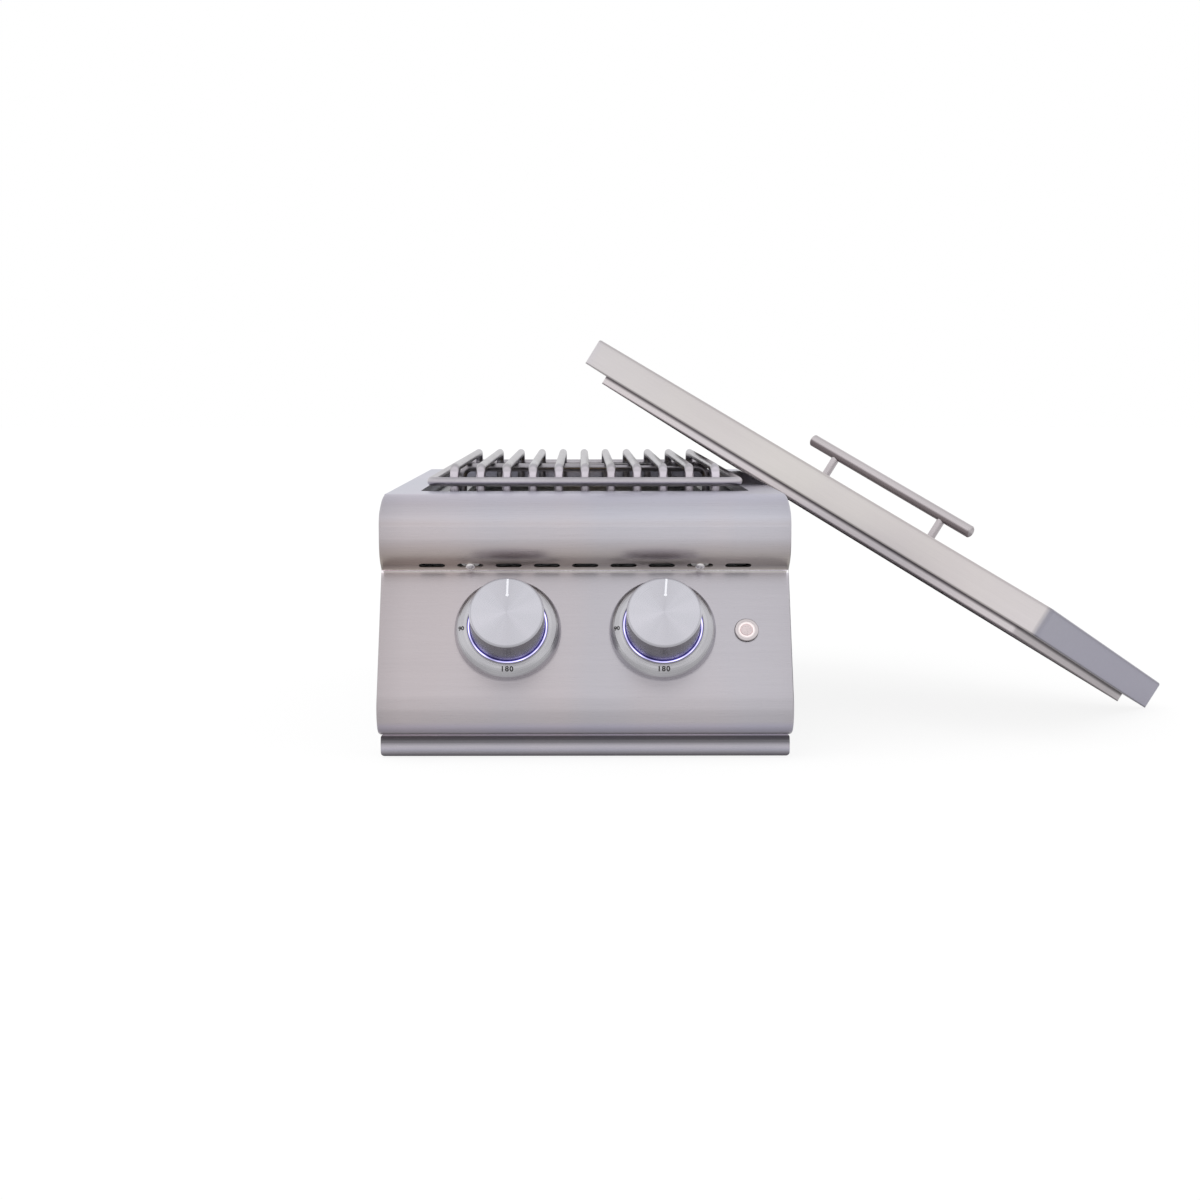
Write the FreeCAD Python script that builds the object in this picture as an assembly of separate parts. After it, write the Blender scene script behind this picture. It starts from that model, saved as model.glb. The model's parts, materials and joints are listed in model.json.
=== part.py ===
import FreeCAD, Part
import math
import os
from FreeCAD import Placement, Rotation, Vector

os.makedirs("parts", exist_ok=True)

# Driving dimensions in millimetres and degrees. The origin is the centre of the casing's bottom face,
# -Y is the front with the knobs, +Z is up.

# Body
body_width = 344.0
body_height = 217.0
top_depth = 583.0
rear_overhang = 6.0
sheet = 1.2
top_edge_drop = 12.0
top_edge_round = 1.5
hem_width = 12.0

# Opening in the top
opening_side_margin = 26.0
opening_front_margin = 50.0
opening_rear_margin = 14.0
opening_corner = 10.0
opening_lip = 8.0

# Rolled front above the crease
nose_reach = 57.0
nose_drop = 25.0
nose_face = 10.2
brow_radius = 16.0
chin_radius = 27.0
chin_angle = 60.0
underside_height = 4.3
nose_flange = 14.0

# Sloping control panel below the crease
panel_angle = 28.5
panel_bottom_drop = 196.6
bulge_radius = 22.0
crease_bend = 1.5

# End caps
cap_rim = 4.0
cap_round = 2.4
cap_flange = 27.0

# Vent slots
slot_count = 9
slot_pitch = 32.15
slot_length = 22.0
slot_width = 6.5
slot_angle = 58.0
screwed_slots = (2, 8)
washer_radius = 7.7
washer_thickness = 1.0
washer_fit = 0.1
fascia_screw_head = 4.0
fascia_screw_rise = 2.6
fascia_screw_shank = 1.9
fascia_screw_length = 8.0

# Casing
side_flange = 23.0
tray_window_margin = 4.0
tray_window_height = 21.0
window_side_margin = 24.0
window_half_height = 38.0
shield_setback = 42.0
rear_vent_count = 6
rear_vent_pitch = 24.0
rear_vent_width = 3.5
rear_vent_height = 60.0
rear_vent_drop = 57.0

# Ledge that carries the grate
ledge_drop = 12.0
ledge_side_width = 30.8
ledge_end_width = 34.0
ledge_lip = 6.0

# Grate
rod_radius = 4.0
bar_count = 11
bar_side_margin = 24.75
bar_top_rise = 23.6
ring_side_gap = 5.5
ring_rise = 7.7
ring_corner = 16.0
ring_end_gap = 9.0
bar_bend = 9.0
cross_rod_side_margin = 19.5
cross_rod_bend = 9.0
grate_foot_gap = 0.3

# Knobs, bezels and light rings; heights are measured out from the panel
knob_spacing = 129.0
knob_drop_along_panel = 54.8
knob_radius = 30.9
knob_bottom = 8.0
knob_top = 40.0
knob_wall = 2.2
knob_face = 3.0
knob_chamfer = 1.0
knob_bore_margin = 2.0
knob_hub_radius = 8.0
knob_push = 4.0
bezel_radius = 44.4
bezel_rim = 2.2
bezel_height = 11.8
bezel_inner_radius = 33.6
bezel_wall = 1.5
light_ring_outer = 33.2
light_ring_inner = 31.6
light_ring_top = 10.6
pointer_length = 15.6
pointer_width = 1.7
pointer_tip_radius = 1.3
pointer_rise = 0.25
pointer_edge_gap = 0.4
pointer_turns = {"left": -1.5, "right": -4.5}

# Valves; depths are measured in from the panel
stem_radius = 4.0
stem_flat = 1.0
stem_tip_depth = 26.0
core_radius = 6.0
core_front_depth = 14.0
core_rear_depth = 46.0
core_end_gap = 0.3
turning_fit = 0.05
sliding_fit = 0.1
valve_size = 24.0
valve_corner = 3.0
valve_front_depth = 12.0
valve_rear_depth = 52.0
bonnet_radius = 9.0
bonnet_front_depth = 4.0
panel_hole_radius = 12.0
manifold_radius = 9.5
manifold_drop = 28.0
manifold_depth = 35.0
manifold_overhang = 47.5
manifold_end_wall = 2.0
manifold_overlap = 6.0
gas_way_radius = 1.5
inlet_stub_radius = 6.0
spud_radius = 5.0
spud_setback = 6.0
orifice_radius = 3.5
orifice_length = 8.0
orifice_bore = 0.8
orifice_thread_radius = 3.0
orifice_thread_length = 5.0

# Lit push button
button_side_margin = 37.5
button_flange_radius = 10.1
button_flange_height = 2.0
button_edge = 0.7
button_barrel_radius = 8.0
button_barrel_depth = 26.0
button_light_outer = 7.4
button_light_inner = 5.6
button_light_depth = 3.0
button_light_rise = 1.8
button_cap_radius = 5.3
button_cap_rise = 1.9
button_cap_depth = 6.0
button_cap_edge = 0.6
button_cap_crown = 0.4
button_cap_fit = 0.2
button_travel = 1.5
button_nut_radius = 11.0
button_nut_height = 3.5

# Burners
burner_front_setback = 188.0
burner_rear_setback = 432.0
pot_radius = 44.0
pot_wall = 3.0
pot_top_drop = 50.0
pot_height = 38.0
head_radius = 43.0
head_height = 14.0
head_dome = 5.0
head_wall = 3.0
head_skirt = 6.0
head_fit = 0.4
port_count = 24
port_radius = 1.5
bracket_width = 34.0
bracket_thickness = 2.0
tube_radius = 12.0
tube_wall = 1.5
tube_bend = 22.0
mouth_gap = -3.0
shutter_length = 20.0
shutter_fit = 0.2
shutter_wall = 1.2
shutter_screw_setback = 4.0
shutter_screw_radius = 2.5
air_window_length = 10.0
air_window_width = 9.0
burner_screw_offset = 30.0
burner_screw_radius = 2.5
burner_screw_height = 2.0

# Ignition, supply and lights
electrode_offset = 54.0
ceramic_radius = 3.0
ceramic_top_drop = 2.0
pin_radius = 0.8
pin_rise = 8.0
pin_bend = 2.5
spark_gap = 4.0
lead_radius = 1.5
lead_bend = 8.0
lead_spacing = 16.0
lead_drop = 30.0
light_wire_bend = 6.0
light_wire_rise = 14.0
ceramic_foot_drop = 12.0
module_width = 44.0
module_depth = 22.0
module_height = 30.0
module_corner = 2.0
module_side_margin = 53.0
module_top_drop = 68.0
supply_side_margin = 17.0
supply_radius = 7.0
supply_wall = 1.2
supply_bend = 20.0
inlet_thread_radius = 7.94
inlet_thread_length = 20.0
inlet_hex_radius = 12.0
inlet_bore_radius = 4.0
inlet_hex_length = 8.0
jack_side_margin = 29.0
jack_bore_radius = 2.8
jack_bore_length = 9.0
jack_barrel_radius = 5.5
jack_barrel_length = 12.0
jack_flange_radius = 8.0
jack_flange_length = 2.0
harness_wall_gap = 7.8
wire_hole_fit = 0.5
pipe_hole_fit = 0.5

# Drip tray
tray_front_inset = 1.5
tray_front_setback = 72.0
tray_front_height = 18.6
tray_front_thickness = 7.0
tray_front_crown = 3.6
tray_front_corner = 3.0
tray_floor_gap = 1.4
runner_width = 13.3
tray_rear_gap = 52.0
tray_height = 13.0
tray_wall = 1.0
tray_slide_gap = 0.3
tray_lip = 9.0
tray_lip_setback = 6.0

# Cover
cover_end_margin = 35.0
cover_height = 27.5
cover_corner = 5.0
cover_edge = 2.2
rim_end_inset = 22.0
rim_side_inset = 9.8
rim_side_fit = 0.3
rim_drop = 8.6
rim_sheet = 0.9
rim_corner = 8.0
handle_length = 205.0
handle_radius = 6.0
handle_height = 27.2
handle_chamfer = 1.2
post_spacing = 137.0
post_radius = 4.0
post_foot_radius = 6.5
post_foot_height = 1.5
cover_screw_radius = 4.5
cover_screw_height = 2.5

# How the cover leans beside the body
cover_lean = 31.6
cover_turn = 37.65
cover_corner_setback = 214.0
cover_gap = 0.3

# Casing screws
casing_screw_radius = 3.6
casing_screw_rise = 1.8
casing_screw_height = 24.0
casing_screw_rows = 3
casing_screw_margin = 30.0
rear_screw_margin = 9.0
rear_screw_drop = 48.0

# Values that follow from the driving dimensions
casing_depth = top_depth - rear_overhang
front_y = -casing_depth / 2
rear_y = casing_depth / 2
top_z = body_height
half_width = body_width / 2
half_casing = half_width - side_flange
inner_half = half_casing - sheet
chin_sin = math.sin(math.radians(chin_angle))
chin_cos = math.cos(math.radians(chin_angle))
crease_drop = nose_drop + nose_face + chin_radius * chin_sin + underside_height
crease_inset = chin_radius * (1 - chin_cos) + underside_height * chin_sin / chin_cos
crease_y = front_y - nose_reach + crease_inset
crease_z = top_z - crease_drop
slope_sin = math.sin(math.radians(panel_angle))
slope_cos = math.cos(math.radians(panel_angle))
opening_front_y = front_y + opening_front_margin
opening_rear_y = front_y + top_depth - opening_rear_margin
half_opening = half_width - opening_side_margin
ring_width = 2 * (half_opening - ring_side_gap)
bar_pitch = (ring_width - 2 * bar_side_margin) / (bar_count - 1)
cover_width = ring_width + 2 * (rim_side_inset + rim_sheet + rim_side_fit)
ledge_z = top_z - ledge_drop
shield_y = front_y + shield_setback
supply_x = -(half_casing - supply_side_margin)
jack_x = half_casing - jack_side_margin
button_x = half_width - button_side_margin
module_x = half_casing - module_side_margin
harness_x = inner_half - harness_wall_gap
manifold_half_length = knob_spacing / 2 + manifold_overhang


def save(name, shape):
    shape.exportStep("parts/" + name + ".step")


def block(x0, x1, y0, y1, z0, z1):
    return Part.makeBox(x1 - x0, y1 - y0, z1 - z0, Vector(x0, y0, z0))


def cylinder(start, direction, radius, length):
    return Part.makeCylinder(radius, length, start, direction)


def joined(shapes):
    result = shapes[0]
    for shape in shapes[1:]:
        result = result.fuse(shape)
    return result.removeSplitter()


def moved(shape, placement):
    result = shape.copy()
    result.Placement = placement.multiply(result.Placement)
    return result


def rounded_plate(x0, x1, y0, y1, z0, z1, radius):
    plate = block(x0, x1, y0, y1, z0, z1)
    upright = [edge for edge in plate.Edges if abs(edge.Vertexes[0].Z - edge.Vertexes[1].Z) > 0.9 * (z1 - z0)]
    return plate.makeFillet(radius, upright)


def arc_edge(centre, radius, start_angle, end_angle):
    # An arc in a plane of constant X, angles in degrees from +Y towards +Z
    points = []
    for share in (0.0, 0.5, 1.0):
        angle = math.radians(start_angle + share * (end_angle - start_angle))
        points.append(Vector(0, centre[0] + radius * math.cos(angle), centre[1] + radius * math.sin(angle)))
    return Part.Arc(points[0], points[1], points[2]).toShape()


def edge_ends(edges):
    first = edges[0].valueAt(edges[0].FirstParameter)
    last = edges[-1].valueAt(edges[-1].LastParameter)
    return first, last


def chained(pieces):
    # Joins arcs and loose points in the order given into one closed outline
    edges = []
    last = None
    start = None
    for piece in pieces:
        if isinstance(piece, Vector):
            if last is not None and last.distanceToPoint(piece) > 1e-6:
                edges.append(Part.LineSegment(last, piece).toShape())
            first, end = piece, piece
        else:
            first, end = edge_ends([piece])
            if last is not None and last.distanceToPoint(first) > 1e-6:
                edges.append(Part.LineSegment(last, first).toShape())
            edges.append(piece)
        if start is None:
            start = first
        last = end
    if last.distanceToPoint(start) > 1e-6:
        edges.append(Part.LineSegment(last, start).toShape())
    return Part.Wire(edges)


def reversed_pieces(pieces):
    turned = []
    for piece in reversed(pieces):
        if isinstance(piece, Vector):
            turned.append(piece)
        else:
            low, high = piece.ParameterRange
            middle = piece.valueAt((low + high) / 2)
            turned.append(Part.Arc(piece.valueAt(high), middle, piece.valueAt(low)).toShape())
    return turned


def across(wire, x0, x1):
    face = Part.Face(wire)
    face.translate(Vector(x0, 0, 0))
    return face.extrude(Vector(x1 - x0, 0, 0))


def bent_rod(points, bend, radius):
    # A round rod along straight runs joined by bends of one radius
    edges = []
    last = points[0]
    for before, corner, after in zip(points, points[1:], points[2:]):
        into = (corner - before).normalize()
        out = (after - corner).normalize()
        turn = into.getAngle(out)
        reach = bend * math.tan(turn / 2)
        bend_start = corner - into * reach
        bend_end = corner + out * reach
        inward = (out - into).normalize()
        middle = corner + inward * (bend / math.cos(turn / 2) - bend)
        edges.append(Part.LineSegment(last, bend_start).toShape())
        edges.append(Part.Arc(bend_start, middle, bend_end).toShape())
        last = bend_end
    edges.append(Part.LineSegment(last, points[-1]).toShape())
    profile = Part.Wire(Part.makeCircle(radius, points[0], (points[1] - points[0]).normalize()))
    return Part.Wire(edges).makePipeShell([profile], True, False)


def bent_tube(points, bend, radius, wall):
    # The bore runs a little past both ends so that they stay open
    into_start = (points[0] - points[1]).normalize()
    past_end = (points[-1] - points[-2]).normalize()
    longer = [points[0] + into_start] + points[1:-1] + [points[-1] + past_end]
    return bent_rod(points, bend, radius).cut(bent_rod(longer, bend, radius - wall))


def revolved(outline):
    # Turns a closed outline of (radius, height) points round the local Z axis
    points = [Vector(radius, 0, height) for radius, height in outline]
    face = Part.Face(Part.makePolygon(points + [points[0]]))
    return face.revolve(Vector(0, 0, 0), Vector(0, 0, 1), 360)


def upright(radius, low, high):
    return cylinder(Vector(0, 0, low), Vector(0, 0, 1), radius, high - low)


def tube(outer, inner, low, high):
    return revolved([(inner, low), (outer, low), (outer, high), (inner, high)])


def hexagon(radius, low, high):
    corners = [Vector(radius * math.cos(math.radians(60 * n)), radius * math.sin(math.radians(60 * n)), low)
               for n in range(6)]
    face = Part.Face(Part.makePolygon(corners + [corners[0]]))
    return face.extrude(Vector(0, 0, high - low))


# Front profile of the rolled front and the control panel
def nose_arcs(inset):
    crown_radius = ((nose_reach - brow_radius) ** 2 + nose_drop ** 2 - brow_radius ** 2)
    crown_radius = crown_radius / (2 * (nose_drop - brow_radius))
    crown = (front_y, top_z - crown_radius)
    brow = (front_y - nose_reach + brow_radius, top_z - nose_drop)
    chin = (front_y - nose_reach + chin_radius, top_z - nose_drop - nose_face)
    handover = math.degrees(math.atan2(brow[1] - crown[1], brow[0] - crown[0]))
    return [
        arc_edge(crown, crown_radius - inset, 90, handover),
        arc_edge(brow, brow_radius - inset, handover, 180),
        arc_edge(chin, chin_radius - inset, 180, 180 + chin_angle),
    ]


def under_corner(inset):
    # Where the chin's flat underside, moved in, meets the flange behind the crease
    return Vector(0, crease_y + inset * (1 - chin_sin) / chin_cos, crease_z + inset)


def crease_corner(inset):
    # Where the same underside meets the panel's slope, both moved in
    spread = math.sin(math.radians(chin_angle + panel_angle))
    return Vector(0, crease_y + inset * (slope_sin + chin_sin) / spread,
                  crease_z + inset * (slope_cos - chin_cos) / spread)


def slope_y(z, inset):
    # Y of the panel's sloping face at a height, moved in by an inset
    return crease_y - (crease_z - z) * slope_sin / slope_cos + inset / slope_cos


def bulge_centre():
    centre_z = top_z - panel_bottom_drop + bulge_radius
    return slope_y(centre_z, 0) + bulge_radius / slope_cos, centre_z


def bulge_arc(inset):
    return arc_edge(bulge_centre(), bulge_radius - inset, 180 - panel_angle, 270)


def panel_place(x, down, turn=0.0):
    # Local Z points out of the panel, local Y points up along it
    base = Vector(x, crease_y - down * slope_sin, crease_z - down * slope_cos)
    tilt = Rotation(Vector(1, 0, 0), 90 - panel_angle)
    return Placement(base, tilt.multiply(Rotation(Vector(0, 0, 1), turn)))


def slot_place(x):
    angle = math.radians(slot_angle)
    centre_y = front_y - nose_reach + chin_radius
    centre_z = top_z - nose_drop - nose_face
    base = Vector(x, centre_y - chin_radius * math.cos(angle), centre_z - chin_radius * math.sin(angle))
    return Placement(base, Rotation(Vector(1, 0, 0), 90 + slot_angle))


def slot_x(number):
    return (number - (slot_count + 1) / 2) * slot_pitch


panel_half = half_width - cap_rim
knob_xs = {"left": -knob_spacing / 2, "right": knob_spacing / 2}


def top_frame():
    back_y = front_y + top_depth
    low = top_z - top_edge_drop
    outer = block(-half_width, half_width, front_y, back_y, low, top_z)
    upper_edges = []
    for edge in outer.Edges:
        ends = [vertex.Point for vertex in edge.Vertexes]
        at_top = all(abs(point.z - top_z) < 1e-6 for point in ends)
        at_front = all(abs(point.y - front_y) < 1e-6 for point in ends)
        if at_top and not at_front:
            upper_edges.append(edge)
    outer = outer.makeFillet(top_edge_round, upper_edges)
    hollow = block(-half_width + sheet, half_width - sheet, front_y - 1, back_y - sheet,
                   low + sheet, top_z - sheet)
    half_hole = half_width - hem_width
    hem_hole = block(-half_hole, half_hole, front_y - 1, rear_y, low - 1, low + 2 * sheet)
    lip = rounded_plate(-half_opening, half_opening, opening_front_y, opening_rear_y,
                        top_z - opening_lip, top_z - sheet / 2, opening_corner)
    hole = rounded_plate(-half_opening + sheet, half_opening - sheet, opening_front_y + sheet,
                         opening_rear_y - sheet, top_z - opening_lip - 1, top_z + 1, opening_corner - sheet)
    return outer.cut(hollow).cut(hem_hole).fuse(lip).cut(hole).removeSplitter()


def bullnose():
    back_y = crease_y + nose_flange
    outer = nose_arcs(0) + [under_corner(0), Vector(0, back_y, crease_z)]
    inner = nose_arcs(sheet) + [under_corner(sheet), Vector(0, back_y, crease_z + sheet)]
    shell = across(chained(outer + reversed_pieces(inner)), -panel_half, panel_half)
    for number in range(1, slot_count + 1):
        shell = shell.cut(moved(slot_cutter(), slot_place(slot_x(number))))
    return shell


def slot_cutter():
    half_straight = (slot_length - slot_width) / 2
    depth = 3 * sheet
    bar = block(-half_straight, half_straight, -slot_width / 2, slot_width / 2, -depth, depth)
    ends = [cylinder(Vector(x, 0, -depth), Vector(0, 0, 1), slot_width / 2, 2 * depth)
            for x in (-half_straight, half_straight)]
    return joined([bar] + ends)


def panel_profile(inset):
    # Points and arcs from the crease lip down the slope and under the bulge
    bend = crease_bend - inset
    lip_z = crease_z - inset
    corner_y = slope_y(lip_z, inset)
    lip_back = crease_y + nose_flange
    reach = bend * math.tan(math.radians(90 - panel_angle) / 2)
    bend_centre = (corner_y + reach, lip_z - bend)
    return [
        Vector(0, lip_back, lip_z),
        arc_edge(bend_centre, bend, 90, 180 - panel_angle),
        bulge_arc(inset),
        Vector(0, front_y - sheet, top_z - panel_bottom_drop + inset),
    ]


def control_panel():
    outline = panel_profile(0) + reversed_pieces(panel_profile(sheet))
    panel = across(chained(outline), -panel_half, panel_half)
    for x in knob_xs.values():
        panel = panel.cut(moved(through_hole(panel_hole_radius), panel_place(x, knob_drop_along_panel)))
    hole = through_hole(button_barrel_radius + sliding_fit)
    return panel.cut(moved(hole, panel_place(button_x, knob_drop_along_panel)))


def through_hole(radius):
    return cylinder(Vector(0, 0, -3 * sheet), Vector(0, 0, 1), radius, 6 * sheet)


def cap_outline(inset):
    pieces = nose_arcs(inset)
    pieces.append(crease_corner(inset))
    pieces.append(bulge_arc(inset))
    pieces.append(Vector(0, front_y - inset, top_z - panel_bottom_drop + inset))
    return chained(pieces)


def end_cap():
    # Right-hand cap; the left one is its mirror image
    cap = across(cap_outline(0), panel_half, half_width)
    rim_edges = []
    for edge in cap.Edges:
        points = [edge.valueAt(edge.FirstParameter), edge.valueAt(edge.LastParameter)]
        outside = all(abs(point.x - half_width) < 1e-6 for point in points)
        at_back = all(abs(point.y - front_y) < 1e-6 for point in points)
        if outside and not at_back and edge.Length > 1.0:
            rim_edges.append(edge)
    cap = cap.makeFillet(cap_round, rim_edges)
    hollow = across(cap_outline(sheet), panel_half - 1, half_width - sheet)
    cap = cap.cut(hollow)
    # The flange lies against the casing and closes the view beside the tray down to the counter
    flange = block(half_width - cap_flange, half_width - sheet / 2, front_y - sheet, front_y,
                   tray_floor_gap, top_z - top_edge_drop)
    return cap.fuse(flange).removeSplitter()


def mirrored(shape):
    return shape.mirror(Vector(0, 0, 0), Vector(1, 0, 0))


def casing_side():
    return block(inner_half, half_casing, front_y, rear_y, 0, top_z - sheet)


def casing_front():
    wall = block(-inner_half, inner_half, front_y, front_y + sheet, 0, top_z - sheet)
    half_tray_window = inner_half - tray_window_margin
    tray_window = block(-half_tray_window, half_tray_window, front_y - 1, front_y + 2 * sheet,
                        sheet, tray_window_height)
    half_window = half_casing - window_side_margin
    window = block(-half_window, half_window, front_y - 1, front_y + 2 * sheet,
                   outlet_z - window_half_height, outlet_z + window_half_height)
    wall = wall.cut(tray_window).cut(window)
    wall = wall.cut(hole_along_y(supply_x, front_y, manifold_z, supply_radius + pipe_hole_fit))
    for x in lead_xs.values():
        wall = wall.cut(hole_along_y(x, front_y, lead_z, lead_radius + wire_hole_fit))
    return wall


def hole_along_y(x, y, z, radius):
    return cylinder(Vector(x, y - 3 * sheet, z), Vector(0, 1, 0), radius, 6 * sheet)


def casing_rear():
    wall = block(-inner_half, inner_half, rear_y - sheet, rear_y, 0, top_z - sheet)
    wall = wall.cut(hole_along_y(supply_x, rear_y, manifold_z, supply_radius + pipe_hole_fit))
    wall = wall.cut(hole_along_y(jack_x, rear_y, manifold_z, jack_barrel_radius + sliding_fit))
    for number in range(rear_vent_count):
        x = (number - (rear_vent_count - 1) / 2) * rear_vent_pitch
        half_vent = rear_vent_width / 2
        high = top_z - rear_vent_drop
        vent = block(x - half_vent, x + half_vent, rear_y - 2 * sheet, rear_y + sheet,
                     high - rear_vent_height, high)
        wall = wall.cut(vent)
    return wall


def casing_floor():
    return block(-inner_half, inner_half, front_y + sheet, rear_y - sheet, 0, sheet)


def heat_shield():
    wall = block(-inner_half, inner_half, shield_y, shield_y + sheet, tray_window_height, top_z - sheet)
    for x in knob_xs.values():
        wall = wall.cut(hole_along_y(x, shield_y, outlet_z, tube_radius + pipe_hole_fit))
    wall = wall.cut(hole_along_y(supply_x, shield_y, manifold_z, supply_radius + pipe_hole_fit))
    wall = wall.cut(hole_along_y(harness_x, shield_y, manifold_z, lead_radius + wire_hole_fit))
    for x in lead_xs.values():
        wall = wall.cut(hole_along_y(x, shield_y, lead_z, lead_radius + wire_hole_fit))
    return wall


def grate_ledge():
    plate = block(-inner_half, inner_half, shield_y + sheet, rear_y - sheet, ledge_z - sheet, ledge_z)
    half = inner_half - ledge_side_width
    low_y = shield_y + sheet + ledge_end_width
    high_y = rear_y - sheet - ledge_end_width
    lip = block(-half - sheet, half + sheet, low_y - sheet, high_y + sheet,
                ledge_z - ledge_lip, ledge_z - sheet / 2)
    hole = block(-half, half, low_y, high_y, ledge_z - 2 * ledge_lip, ledge_z + sheet)
    return plate.fuse(lip).cut(hole).removeSplitter()


# Places in the gas train that several pieces share
manifold_centre = panel_place(0, knob_drop_along_panel).multVec(Vector(0, -manifold_drop, -manifold_depth))
manifold_z = manifold_centre.z
outlet_point = panel_place(0, knob_drop_along_panel).multVec(Vector(0, 0, -valve_rear_depth + spud_radius))
outlet_z = outlet_point.z
burner_ys = {"front": front_y + burner_front_setback, "rear": front_y + burner_rear_setback}
burner_sides = {"front": "left", "rear": "right"}
mouth_y = front_y + spud_setback + orifice_length + mouth_gap
pot_bottom = top_z - pot_top_drop - pot_height
ceramic_foot_z = pot_bottom - ceramic_foot_drop
lead_z = top_z - module_top_drop - module_height / 2
lead_xs = {"front": module_x - lead_spacing / 2, "rear": module_x + lead_spacing / 2}


def bar_xs():
    return [(number - (bar_count - 1) / 2) * bar_pitch for number in range(bar_count)]


bar_z = top_z + bar_top_rise - rod_radius
ring_z = top_z + ring_rise
ring_front_y = opening_front_y + ring_end_gap + rod_radius
ring_rear_y = opening_rear_y - ring_end_gap - rod_radius
foot_z = ledge_z + grate_foot_gap
cover_length = ring_rear_y - ring_front_y + 2 * (rod_radius + cover_end_margin)


def grate_bars():
    front_leg_y = ring_front_y + 2 * rod_radius
    rear_leg_y = ring_rear_y - 2 * rod_radius
    bars = []
    for x in bar_xs():
        path = [Vector(x, front_leg_y, foot_z), Vector(x, front_leg_y, bar_z),
                Vector(x, rear_leg_y, bar_z), Vector(x, rear_leg_y, foot_z)]
        bars.append(bent_rod(path, bar_bend, rod_radius))
    return Part.makeCompound(bars)


def grate_ring():
    # The closed ring is swept in one piece round its four corners
    half = ring_width / 2 - rod_radius
    corners = [Vector(half, ring_front_y, ring_z), Vector(half, ring_rear_y, ring_z),
               Vector(-half, ring_rear_y, ring_z), Vector(-half, ring_front_y, ring_z)]
    start = Vector(0, ring_front_y, ring_z)
    return bent_rod([start] + corners + [start], ring_corner, rod_radius)


def cross_rod():
    half = ring_width / 2 - cross_rod_side_margin
    y = (ring_front_y + ring_rear_y) / 2
    rod_z = bar_z - 2 * rod_radius
    path = [Vector(-half, y, foot_z), Vector(-half, y, rod_z),
            Vector(half, y, rod_z), Vector(half, y, foot_z)]
    return bent_rod(path, cross_rod_bend, rod_radius)


def bezel():
    # Low domed ring with a turned-in inner edge and a flat base round the valve hole
    steps = 8
    rise = bezel_height - bezel_rim
    run = bezel_radius - bezel_inner_radius - bezel_wall
    outside = [(bezel_radius, 0), (bezel_radius, bezel_rim)]
    for step in range(1, steps + 1):
        angle = math.pi / 2 * step / steps
        outside.append((bezel_radius - run * (1 - math.cos(angle)), bezel_rim + rise * math.sin(angle)))
    inside = [(bezel_inner_radius, bezel_height), (bezel_inner_radius, bezel_wall),
              (panel_hole_radius, bezel_wall), (panel_hole_radius, 0)]
    return revolved(outside + inside)


def light_ring():
    return tube(light_ring_outer, light_ring_inner, bezel_wall, light_ring_top)


def knob():
    height = knob_top
    outline = [
        (stem_radius + sliding_fit, knob_bottom),
        (knob_hub_radius, knob_bottom),
        (knob_hub_radius, height - knob_face),
        (knob_radius - knob_wall, height - knob_face),
        (knob_radius - knob_wall, knob_bottom),
        (knob_radius, knob_bottom),
        (knob_radius, height - knob_chamfer),
        (knob_radius - knob_chamfer, height),
        (0, height),
        (0, height - knob_face - knob_bore_margin),
        (stem_radius + sliding_fit, height - knob_face - knob_bore_margin),
    ]
    return revolved(outline)


def knob_pointer():
    outer = knob_radius - knob_chamfer - pointer_edge_gap
    half = pointer_width / 2
    low = knob_top
    tip_y = outer - pointer_length + pointer_tip_radius
    bar = block(-half, half, tip_y, outer, low, low + pointer_rise)
    tip = cylinder(Vector(0, tip_y, low), Vector(0, 0, 1), pointer_tip_radius, pointer_rise)
    return joined([bar, tip])


def valve_stem():
    top = knob_top - knob_face - knob_bore_margin
    shaft = upright(stem_radius, -stem_tip_depth, top)
    flat = block(-2 * stem_radius, 2 * stem_radius, stem_radius - stem_flat, 2 * stem_radius,
                 -stem_tip_depth - 1, -core_front_depth + knob_push + 1)
    return shaft.cut(flat)


def valve_core():
    body = upright(core_radius, -core_rear_depth, -core_front_depth)
    socket_depth = stem_tip_depth + knob_push + 1
    socket = upright(stem_radius + sliding_fit, -socket_depth, 0)
    flat = block(-2 * stem_radius, 2 * stem_radius, stem_radius - stem_flat + sliding_fit, 2 * stem_radius,
                 -socket_depth - 1, 0)
    gas_port = cylinder(Vector(0, -core_radius, -manifold_depth), Vector(0, 1, 0),
                        gas_way_radius, core_radius)
    gas_way = upright(gas_way_radius, -core_rear_depth, -manifold_depth + gas_way_radius)
    return body.cut(socket.cut(flat)).cut(gas_port).cut(gas_way)


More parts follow.
